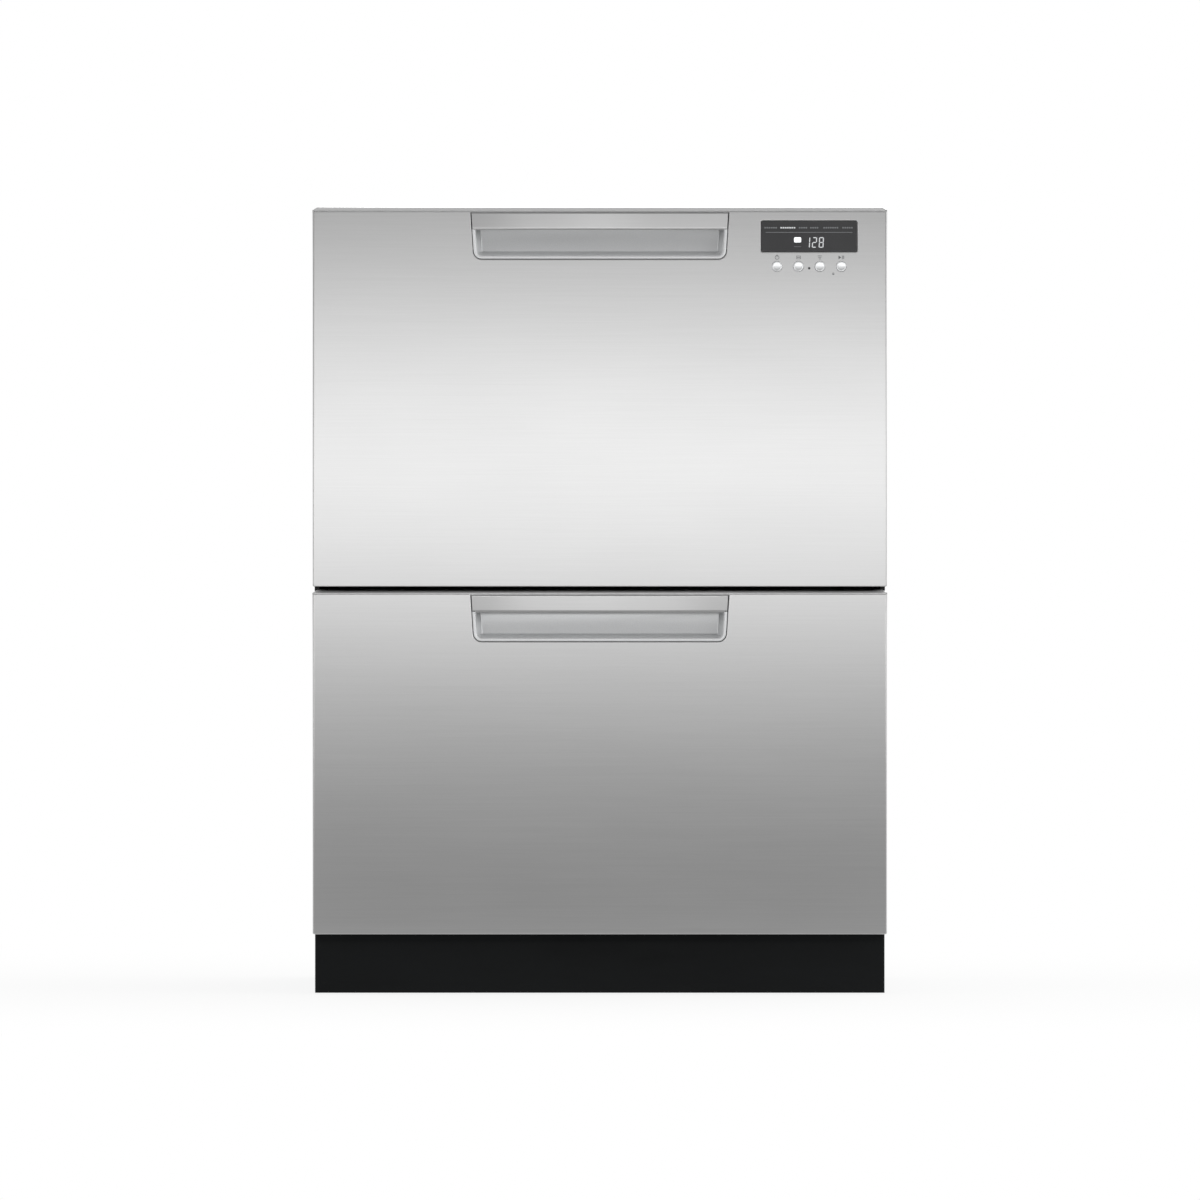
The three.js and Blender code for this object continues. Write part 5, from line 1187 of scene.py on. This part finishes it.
def add_runner_ledges(bm, name):
    """The ribbed ledge along each side, which the drawer's inner runner is fixed to."""
    half, front, back = tub_body(name)
    face = low(f"{name}_runner_right_inner").x - 0.3 * MM
    root = half - TUB_DRAFT - 0.5 * MM
    z, y = RIM_Z[name] - 190 * MM, (front + 14 * MM, back - TUB_DRAFT - TUB_CORNER)
    for side in SIDES.values():
        for rise in (-17 * MM, 17 * MM):
            add_box(bm, (side * root, side * face), y, about(z + rise, 3 * MM), 0.6 * MM)
        add_box(bm, (side * (face - 2.5 * MM), side * face), y, about(z, 37 * MM), 0.6 * MM)
        for i in range(6):
            rib = about(y[0] + 2 * MM + (y[1] - y[0] - 4 * MM) * i / 5, 3 * MM)
            add_box(bm, (side * root, side * (face - 1 * MM)), rib, about(z, 36 * MM))


def cap_centre(name):
    """The middle of the filler cap, on the cavity's front wall beside the detergent cup."""
    _, front, _ = tub_body(name)
    x = low(f"{name}_detergent_door").x + 91 * MM
    return Vector((x, front + SHOULDER, RIM_Z[name] - CAP_DROP))


def add_filler_cap(bm, name):
    """The round cap of the rinse agent's tank, with a bar to turn it by."""
    centre = cap_centre(name)
    profile = [(0, 6), (12.6, 6), (14.4, 5.4), (15, 4.2), (15, -1), (0, -1)]
    add_turned(bm, [(r * MM, -h * MM) for r, h in profile], centre, "y", 40)
    bar_y = (centre.y + 4 * MM, centre.y + 10 * MM)
    bar_z = about(centre.z, 2 * CAP_RADIUS - 6 * MM)
    add_box(bm, about(centre.x, 5 * MM), bar_y, bar_z, 1.2 * MM, 3)


def tub_hollows(name):
    """What is cut from the shoulder: the detergent cup and a hollow to either side."""
    bm = bmesh.new()
    rim, cap = RIM_Z[name], cap_centre(name)
    half, front, _ = tub_body(name)
    cup_left = low(f"{name}_detergent_door").x
    cup_x, cup_y = (cup_left + 5 * MM, cup_left + 61 * MM), (cap.y - 22 * MM, cap.y + 1 * MM)
    add_box(bm, cup_x, cup_y, (rim - 86 * MM, rim - 46 * MM), 3 * MM, 3)
    hollow_y = (front + TUB_WALL, cap.y - TUB_WALL)
    hollow_z = (rim - TUB_DEPTH - 24 * MM, rim - TUB_WALL)
    add_box(bm, (-half + TUB_CORNER, cup_left - TUB_WALL), hollow_y, hollow_z)
    add_box(bm, (cap.x + CAP_RADIUS + 6 * MM, half - TUB_CORNER), hollow_y, hollow_z)
    return bm


def build_tub(name):
    """The one-piece moulded tub with its sump, shoulder, rim, side ledges and filler cap."""
    bm = bmesh.new()
    for end in lofted(bm, tub_outlines(name)):
        filled(bm, end)
    add_runner_ledges(bm, name)
    add_filler_cap(bm, name)
    shell = carved(bm, tub_hollows(name))
    make_piece(f"{name}_tub_shell", shell, "tub", f"{name}_drawer", [f"{name}_tub"], sharp=38)


def build_filter(name):
    """The pressed stainless filter plate: a disc with three rings of slots, a hub and a pin."""
    node = f"{name}_filter_plate"
    centre = middle(node)
    radius = (high(node).x - low(node).x) / 2
    thick = 2 * MM
    bottom, top = low(node).z, low(node).z + thick
    bm = bmesh.new()
    disc = [(0, 0), (radius, 0), (radius, 1.4 * MM), (radius - 0.6 * MM, thick), (0, thick)]
    add_turned(bm, disc, (centre.x, centre.y, bottom), "z", 72)
    cutters = bmesh.new()
    place = Matrix.Translation((centre.x, centre.y, bottom))
    # Each ring's distance from the middle, its number of slots and their length.
    for away, count, length in ((38 * MM, 12, 20 * MM), (58 * MM, 20, 12 * MM), (76 * MM, 28, 12 * MM)):
        for i in range(count):
            slot = add_box(cutters, about(away, length), about(0, 2.6 * MM), about(1 * MM, 6 * MM))
            turn = Matrix.Rotation(2 * math.pi * (i + 0.5) / count, 4, "Z")
            bmesh.ops.transform(cutters, matrix=place @ turn, verts=slot)
    plate = carved(bm, cutters)
    hub_top = low(f"{name}_spray_arm").z - 0.3 * MM - top
    hub = [(0, -0.5 * MM), (20 * MM, -0.5 * MM), (19.4 * MM, 1.4 * MM)]
    hub += [(17 * MM, hub_top - 0.6 * MM), (16.4 * MM, hub_top), (0, hub_top)]
    add_turned(plate, hub, (centre.x, centre.y, top), "z", 40)
    pin_top = high(node).z - top
    pin = [(0, 0), (5 * MM, 0), (5 * MM, pin_top - 1 * MM), (4 * MM, pin_top), (0, pin_top)]
    add_turned(plate, pin, (centre.x, centre.y, top), "z", 28)
    make_piece(f"{name}_filter_disc", plate, "filter_steel", f"{name}_drawer", [node], sharp=40)


def build_spray_arm(name):
    """Two tapered blades on a bored hub with raised spray nozzles."""
    node = f"{name}_spray_arm"
    centre = middle(node)
    reach = (high(node).x - low(node).x) / 2
    bottom = low(node).z
    mid = bottom + 6 * MM
    # Share of the reach, then the chord and the thickness in millimetres.
    stations = [(-1.0, 8, 3), (-0.985, 13, 4), (-0.95, 20, 6), (-0.8, 27, 8)]
    stations += [(-0.35, 34, 10), (0, 30, 10)]
    stations += [(-share, chord, thick) for share, chord, thick in stations[-2::-1]]
    outlines = []
    for share, chord, thick in stations:
        outline = []
        for angle in turn_angles(24):
            y = centre.y + chord * MM / 2 * math.cos(angle)
            outline.append((share * reach, y, mid + thick * MM / 2 * math.sin(angle)))
        outlines.append(outline)
    bm = bmesh.new()
    for end in lofted(bm, outlines):
        filled(bm, end)
    hub = [(0, 0), (17 * MM, 0), (17 * MM, 12.6 * MM), (15.6 * MM, 14 * MM), (0, 14 * MM)]
    add_turned(bm, hub, (centre.x, centre.y, bottom), "z", 40)
    nozzles = []
    for way in (-1, 1):
        for i, share in enumerate((0.3, 0.55, 0.8)):
            nozzles.append((way * reach * share, centre.y + way * (i - 1) * 5 * MM))
    nozzle = [(0, 0), (4.2 * MM, 0), (4 * MM, 4.4 * MM), (3 * MM, 5.4 * MM), (0, 5.4 * MM)]
    for x, y in nozzles:
        add_turned(bm, nozzle, (x, y, mid), "z", 20)
    cutters = bmesh.new()
    add_rod(cutters, 5.4 * MM, (centre.x, centre.y, bottom - 5 * MM), 40 * MM, "z", 32)
    for x, y in nozzles:
        add_rod(cutters, 1.6 * MM, (x, y, mid + 2 * MM), 10 * MM, "z", 12)
    make_piece(f"{name}_spray_blades", carved(bm, cutters), "grey", node, [node], sharp=40)


def build_detergent_door(name):
    """The detergent cup's flap with a raised border, a hinge barrel and a latch tab."""
    node = f"{name}_detergent_door"
    door_low, door_high = low(node), high(node)
    back, face = door_low.y, door_low.y + 3 * MM
    barrel_radius = 2.6 * MM
    bottom = door_low.z + barrel_radius
    x, z = (door_low.x, door_high.x), (bottom, door_high.z)

    def outline(inset, y):
        u, v = (x[0] + inset, x[1] - inset), (z[0] + inset, z[1] - inset)
        return [(a, y, b) for a, b in rounded(u, v, 3 * MM, 6, 8 * MM - inset)]

    bm = bmesh.new()
    steps = [(0, back), (0, face - 0.6 * MM), (0.6 * MM, face)]
    steps += [(2.4 * MM, face), (3.2 * MM, face - 0.8 * MM)]
    for end in lofted(bm, [outline(*step) for step in steps]):
        filled(bm, end)
    barrel_start = (x[0] + 6 * MM, back + barrel_radius, bottom)
    add_rod(bm, barrel_radius, barrel_start, x[1] - x[0] - 12 * MM, "x", 20)
    tab_x, tab_y = about((x[0] + x[1]) / 2, 18 * MM), (face - 1.4 * MM, door_high.y)
    add_box(bm, tab_x, tab_y, about(door_high.z - 7 * MM, 3 * MM), 0.8 * MM, 3)
    make_piece(f"{name}_detergent_flap", bm, "grey", node, [node], sharp=40)


class BuildTubs(bpy.types.Operator):
    """Builds the moulded tubs with their filters, spray arms and detergent doors"""

    bl_idname = "dishwasher.tubs"
    bl_label = "Tubs and wash system"

    def execute(self, context):
        for name in DRAWERS:
            build_tub(name)
            build_filter(name)
            build_spray_arm(name)
            build_detergent_door(name)
            dress([f"{name}_wash_motor"], "black")
        return {"FINISHED"}


# ---------------------------------------------------------------- racks and baskets
CUP_WIRE_RADIUS = 1.6 * MM


def add_eye(bm, pivot, side, top):
    """An eye round the cup shelf's hinge wire, on a post that stands on the rack's top wire."""
    bore = CUP_WIRE_RADIUS * math.sqrt(2) + 0.3 * MM
    rim = bore + 2.2 * MM
    steps = [(bore, -2.2), (rim, -2.5), (rim, 2.5), (bore, 2.2), (bore, -2.2)]
    rings = []
    for radius, along in steps:
        y = pivot.y + along * MM
        turns = [(radius * math.cos(a), radius * math.sin(a)) for a in turn_angles(24)]
        rings.append([(pivot.x + u, y, pivot.z + v) for u, v in turns])
    lofted(bm, rings)
    add_box(bm, (side, pivot.x + bore), about(pivot.y, 5 * MM), about(top, 4 * MM), 0.8 * MM)
    post = (top, pivot.z - bore - 0.4 * MM)
    add_box(bm, about(pivot.x, 4 * MM), about(pivot.y, 4.4 * MM), post, 0.8 * MM)


def build_rack(name):
    """The dish rack bent from round coated wire, with its legs and the cup shelf's eyes."""
    node = f"{name}_dish_rack"
    radius = sizes().wire_diameter / 2
    half = high(node).x - radius
    front, back = low(node).y + radius, high(node).y - radius
    top = RIM_Z[name] - RACK_TOP_DROP
    floor = RIM_Z[name] - RACK_FLOOR_DROP
    paths = []
    for z, grow in ((top, 0.0), (floor, -4 * MM)):
        x, y = (-half - grow, half + grow), (front - grow, back + grow)
        paths.append(([(u, v, z) for u, v in rounded(x, y, 24 * MM, 8)], radius, True))
    cross = [front + (back - front) * (0.14 + 0.72 * i / 4) for i in range(5)]
    for y in cross:
        path = [(-half, y, top), (-half + 4 * MM, y, floor + 6 * MM), (-half + 10 * MM, y, floor)]
        path += [(-x, y, z) for x, _, z in reversed(path)]
        paths.append((bent(path, 8 * MM), radius, False))
    long_count = 7
    under = floor - radius * 1.6
    for i in range(long_count):
        x = half * 1.56 * (i / (long_count - 1) - 0.5)
        path = [(x, front, top), (x, front + 4 * MM, floor + 4 * MM), (x, front + 10 * MM, under)]
        path += [(x, front + back - y, z) for _, y, z in reversed(path)]
        paths.append((bent(path, 8 * MM), radius, False))
    bm = wires(node, paths)
    foot = low(node).z
    leg = floor - foot
    profile = [(0, 0), (2.4 * MM, 0), (3 * MM, 0.8 * MM), (3 * MM, leg), (0, leg)]
    for y in (cross[0], cross[-1]):
        for side in SIDES.values():
            add_turned(bm, profile, (side * (half - 34 * MM), y, foot), "z", 20)
    shelf = f"{name}_cup_rack"
    for y in (low(shelf).y + 31.6 * MM, high(shelf).y - 31.6 * MM):
        pivot = Vector((-half + 6 * MM, y, RIM_Z[name] - CUP_RACK_DROP))
        add_eye(bm, pivot, -half - 1.5 * MM, top)
    make_piece(f"{name}_rack_wires", bm, "wire", f"{name}_drawer", [node], sharp=50)


def build_plate_insert(name):
    """Rows of plate tines on two long wires that lie on the rack's floor."""
    node = f"{name}_plate_insert"
    box_low, box_high = low(node), high(node)
    radius, pitch, rows, overhang = 1.4 * MM, 50 * MM, 4, 8 * MM
    rail = box_low.z + radius
    row = rail + radius * 1.4
    height = box_high.z - row - 0.4 * MM
    left, right = box_low.x + overhang, box_high.x - overhang
    tines = [left + i * pitch for i in range(round((right - left) / pitch) + 1)]
    front, back = box_low.y, box_high.y
    first, last = front + 24 * MM, back - 40 * MM
    paths, tips = [], []
    for x in ((tines[0] + tines[1]) / 2, (tines[-2] + tines[-1]) / 2):
        paths.append(([(x, front, rail), (x, back, rail)], radius, False))
    for i in range(rows):
        y = first + (last - first) * i / (rows - 1)
        paths.append(([(left - overhang, y, row), (right + overhang, y, row)], radius, False))
        for x in tines:
            tips.append((x, y + height * 0.2, row + height))
            paths.append(([(x, y, row), tips[-1]], radius, False))
    bm = wires(node, paths)
    for tip in tips:
        bmesh.ops.create_uvsphere(
            bm, u_segments=12, v_segments=6, radius=radius * 1.15, matrix=Matrix.Translation(tip)
        )
    make_piece(f"{name}_plate_tines", bm, "wire", f"{name}_drawer", [node], sharp=50)


def build_cup_rack(name):
    """The fold-up cup shelf: a bent frame with five dished bars."""
    node = f"{name}_cup_rack"
    radius = CUP_WIRE_RADIUS
    z = RIM_Z[name] - CUP_RACK_DROP
    x = (low(node).x + radius, high(node).x - radius)
    y = (low(node).y + radius, high(node).y - radius)
    corners = [(x[0], y[0], z), (x[1], y[0], z), (x[1], y[1], z), (x[0], y[1], z)]
    paths = [(bent(corners, 6 * MM, 5, True), radius, True)]
    for i in range(1, 6):
        bar = y[0] + (y[1] - y[0]) * i / 6
        path = [(x[0], bar, z), (x[0] + (x[1] - x[0]) * 0.45, bar, z - 5 * MM), (x[1], bar, z)]
        paths.append((bent(path, 60 * MM, 6), radius - 0.3 * MM, False))
    make_piece(f"{name}_cup_shelf", wires(node, paths), "wire", node, [node], sharp=50)


def basket_cutters(x, y, bottom, top):
    """The slots through the basket's long walls and the drain holes in its floor."""
    bm = bmesh.new()
    slots = 9
    slot_x, slot_z = (x[0] - 4 * MM, x[1] + 4 * MM), (bottom + 14 * MM, top - 24 * MM)
    for i in range(slots):
        at = y[0] + (i + 0.5) * (y[1] - y[0]) / slots
        add_box(bm, slot_x, about(at, 5 * MM), slot_z, 2.2 * MM, 4)
    for u in range(4):
        for v in range(11):
            hole = (x[0] + (16 + 14 * u) * MM, y[0] + (15 + 18 * v) * MM, bottom - 2 * MM)
            add_rod(bm, 2.5 * MM, hole, 8 * MM, "z", 12)
    return bm


def build_basket(name):
    """The long cutlery basket with rounded slots in its walls, a lip and two dividers."""
    node = f"{name}_cutlery_basket"
    box_low, box_high = low(node), high(node)
    lip, wall, taper = 1.4 * MM, 2 * MM, 3 * MM
    x = (box_low.x + lip, box_high.x - lip)
    y = (box_low.y + lip, box_high.y - lip)
    bottom, top = box_low.z, box_high.z

    def outline(z, inset):
        u, v = (x[0] + inset, x[1] - inset), (y[0] + inset, y[1] - inset)
        return [(a, b, z) for a, b in rounded(u, v, 8 * MM, 8)]

    bm = bmesh.new()
    outlines = [
        outline(bottom, taper + 1 * MM),
        outline(bottom + 1 * MM, taper),
        outline(top - 6 * MM, 0.6 * MM),
        outline(top - 6 * MM, -lip + 0.3 * MM),
        outline(top - 5.6 * MM, -lip),
        outline(top - 0.5 * MM, -lip),
        outline(top, -lip + 0.5 * MM),
        outline(top, wall - 0.5 * MM),
        outline(top - 0.5 * MM, wall),
        outline(bottom + wall + 1 * MM, taper + wall),
        outline(bottom + wall, taper + wall + 1 * MM),
    ]
    for end in lofted(bm, outlines):
        filled(bm, end)
    basket = carved(bm, basket_cutters(x, y, bottom, top))
    divider_x, divider_z = (x[0] + 3 * MM, x[1] - 3 * MM), (bottom + 1 * MM, top - 14 * MM)
    for way in (-1, 1):
        at = (y[0] + y[1]) / 2 + way * (y[1] - y[0]) / 6
        add_box(basket, divider_x, about(at, wall), divider_z, 0.5 * MM)
    make_piece(f"{name}_basket_shell", basket, "grey", f"{name}_drawer", [node], sharp=40)


class BuildRacks(bpy.types.Operator):
    """Builds the wire racks, the plate tines, the cup shelves and the cutlery baskets"""

    bl_idname = "dishwasher.racks"
    bl_label = "Racks and baskets"

    def execute(self, context):
        for name in DRAWERS:
            build_rack(name)
            build_plate_insert(name)
            build_cup_rack(name)
            build_basket(name)
        return {"FINISHED"}


# ---------------------------------------------------------------- stage
# How bright the room in front of the machine and the rest of it look in its metal.
ROOM_DIM, ROOM_WHITE = 0.2, 0.9
# Name, place, width, height and watts. The strip draws the pale band across the steel fronts.
LAMPS = (
    ("front_strip", (0, FACE_Y - 1.95, 0.58), 1.7, 0.26, 5.3),
    ("rear_soft", (0.5, 3.2, 2.4), 2.4, 1.6, 40),
)
LAMPS_AIM = Vector((0, 0, 0.45))
FLOOR_RADIUS = 14.0
# Where the camera looks, level and square on, and how wide its picture is at the fronts.
VIEW_X, VIEW_Z, VIEW_WIDTH = 0.2 * MM, 410.8 * MM, 1249.8 * MM
SENSOR_WIDTH = 36.0


def add_lamp(name, place, width, height, power):
    """A rectangular lamp turned to the machine's middle, which the camera doesn't see."""
    light = bpy.data.lights.new(name, "AREA")
    light.shape = "RECTANGLE"
    light.size = width
    light.size_y = height
    light.energy = power
    lamp = bpy.data.objects.new(name, light)
    lamp.visible_camera = False
    direction = LAMPS_AIM - Vector(place)
    turn = direction.to_track_quat("-Z", "Y").to_matrix().to_4x4()
    lamp.matrix_world = Matrix.Translation(place) @ turn
    bpy.context.scene.collection.objects.link(lamp)


def build_world():
    """A white studio to the camera; objects also reflect the dimmer room in front of them."""
    world = bpy.data.worlds.new("studio")
    bpy.context.scene.world = world
    world.use_nodes = True
    background = world.node_tree.nodes["Background"]
    direction = add_node(world, "ShaderNodeTexCoord").outputs["Generated"]
    parts = add_node(world, "ShaderNodeSeparateXYZ", {0: direction})
    behind = rising(world, parts.outputs["Y"], -0.6, 0.3)
    above = rising(world, parts.outputs["Z"], 0.15, 0.9)
    white = combined(world, "MAXIMUM", behind, above)
    white = combined(world, "MAXIMUM", white, beside(world, parts))
    room = rising(world, white, 0.0, 1.0, ROOM_DIM, ROOM_WHITE)
    # A brighter wall to the right draws the pale line down the fronts' right edges.
    wall = rising(world, parts.outputs["X"], 0.35, 0.8, 0.0, 0.8)
    seen, _ = ray_kinds(world)
    unseen = combined(world, "SUBTRACT", 1.0, seen)
    lit = combined(world, "MULTIPLY", combined(world, "ADD", room, wall), unseen)
    link(world, combined(world, "MAXIMUM", seen, lit), background, "Strength")
    background.inputs["Color"].default_value = (1.0, 1.0, 1.0, 1.0)
    # The room is soft enough to be met by chance, which leaves every sample to the strip lamp.
    world.cycles.sampling_method = "NONE"


class BuildStage(bpy.types.Operator):
    """Builds the floor, the lamps, the world and the camera at the photograph's viewing angle"""

    bl_idname = "dishwasher.stage"
    bl_label = "Stage and camera"

    def execute(self, context):
        scene = bpy.context.scene
        bm = bmesh.new()
        bmesh.ops.create_circle(bm, cap_ends=True, segments=96, radius=FLOOR_RADIUS)
        mesh = bpy.data.meshes.new("studio_floor")
        bm.to_mesh(mesh)
        bm.free()
        mesh.materials.append(studio_floor())
        floor = bpy.data.objects.new("studio_floor", mesh)
        scene.collection.objects.link(floor)
        build_world()
        for lamp in LAMPS:
            add_lamp(*lamp)
        distance = sizes().camera_distance
        camera = bpy.data.cameras.new("camera")
        camera.sensor_width = SENSOR_WIDTH
        camera.lens = SENSOR_WIDTH * distance / VIEW_WIDTH
        view = bpy.data.objects.new("camera", camera)
        place = Matrix.Translation((VIEW_X, FACE_Y - distance, VIEW_Z))
        view.matrix_world = place @ Matrix.Rotation(math.pi / 2, 4, "X")
        scene.collection.objects.link(view)
        scene.camera = view
        scene.view_settings.view_transform = "Standard"
        return {"FINISHED"}


# ---------------------------------------------------------------- add-on
class DishwasherPanel(bpy.types.Panel):
    """Lists the builders and their settings"""

    bl_idname = "VIEW3D_PT_dishwasher"
    bl_label = "Dishwasher"
    bl_space_type = "VIEW_3D"
    bl_region_type = "UI"
    bl_category = "Dishwasher"

    def draw(self, context):
        layout = self.layout
        for builder in BUILDERS:
            layout.operator(builder.bl_idname)
        for group, owner in ((sizes(), DishwasherSizes), (colours(), DishwasherColours)):
            for name in owner.__annotations__:
                layout.prop(group, name)


BUILDERS = (BuildFronts, BuildControls, BuildCabinet, BuildTubs, BuildRacks, BuildStage)
CLASSES = (DishwasherSizes, DishwasherColours, *BUILDERS, DishwasherPanel)


def register():
    for each in CLASSES:
        bpy.utils.register_class(each)
    bpy.types.Scene.dishwasher_sizes = bpy.props.PointerProperty(type=DishwasherSizes)
    bpy.types.Scene.dishwasher_colours = bpy.props.PointerProperty(type=DishwasherColours)


def unregister():
    del bpy.types.Scene.dishwasher_sizes
    del bpy.types.Scene.dishwasher_colours
    for each in reversed(CLASSES):
        bpy.utils.unregister_class(each)


def main():
    register()
    for builder in BUILDERS:
        family, action = builder.bl_idname.split(".")
        getattr(getattr(bpy.ops, family), action)()


if __name__ == "__main__":
    main()
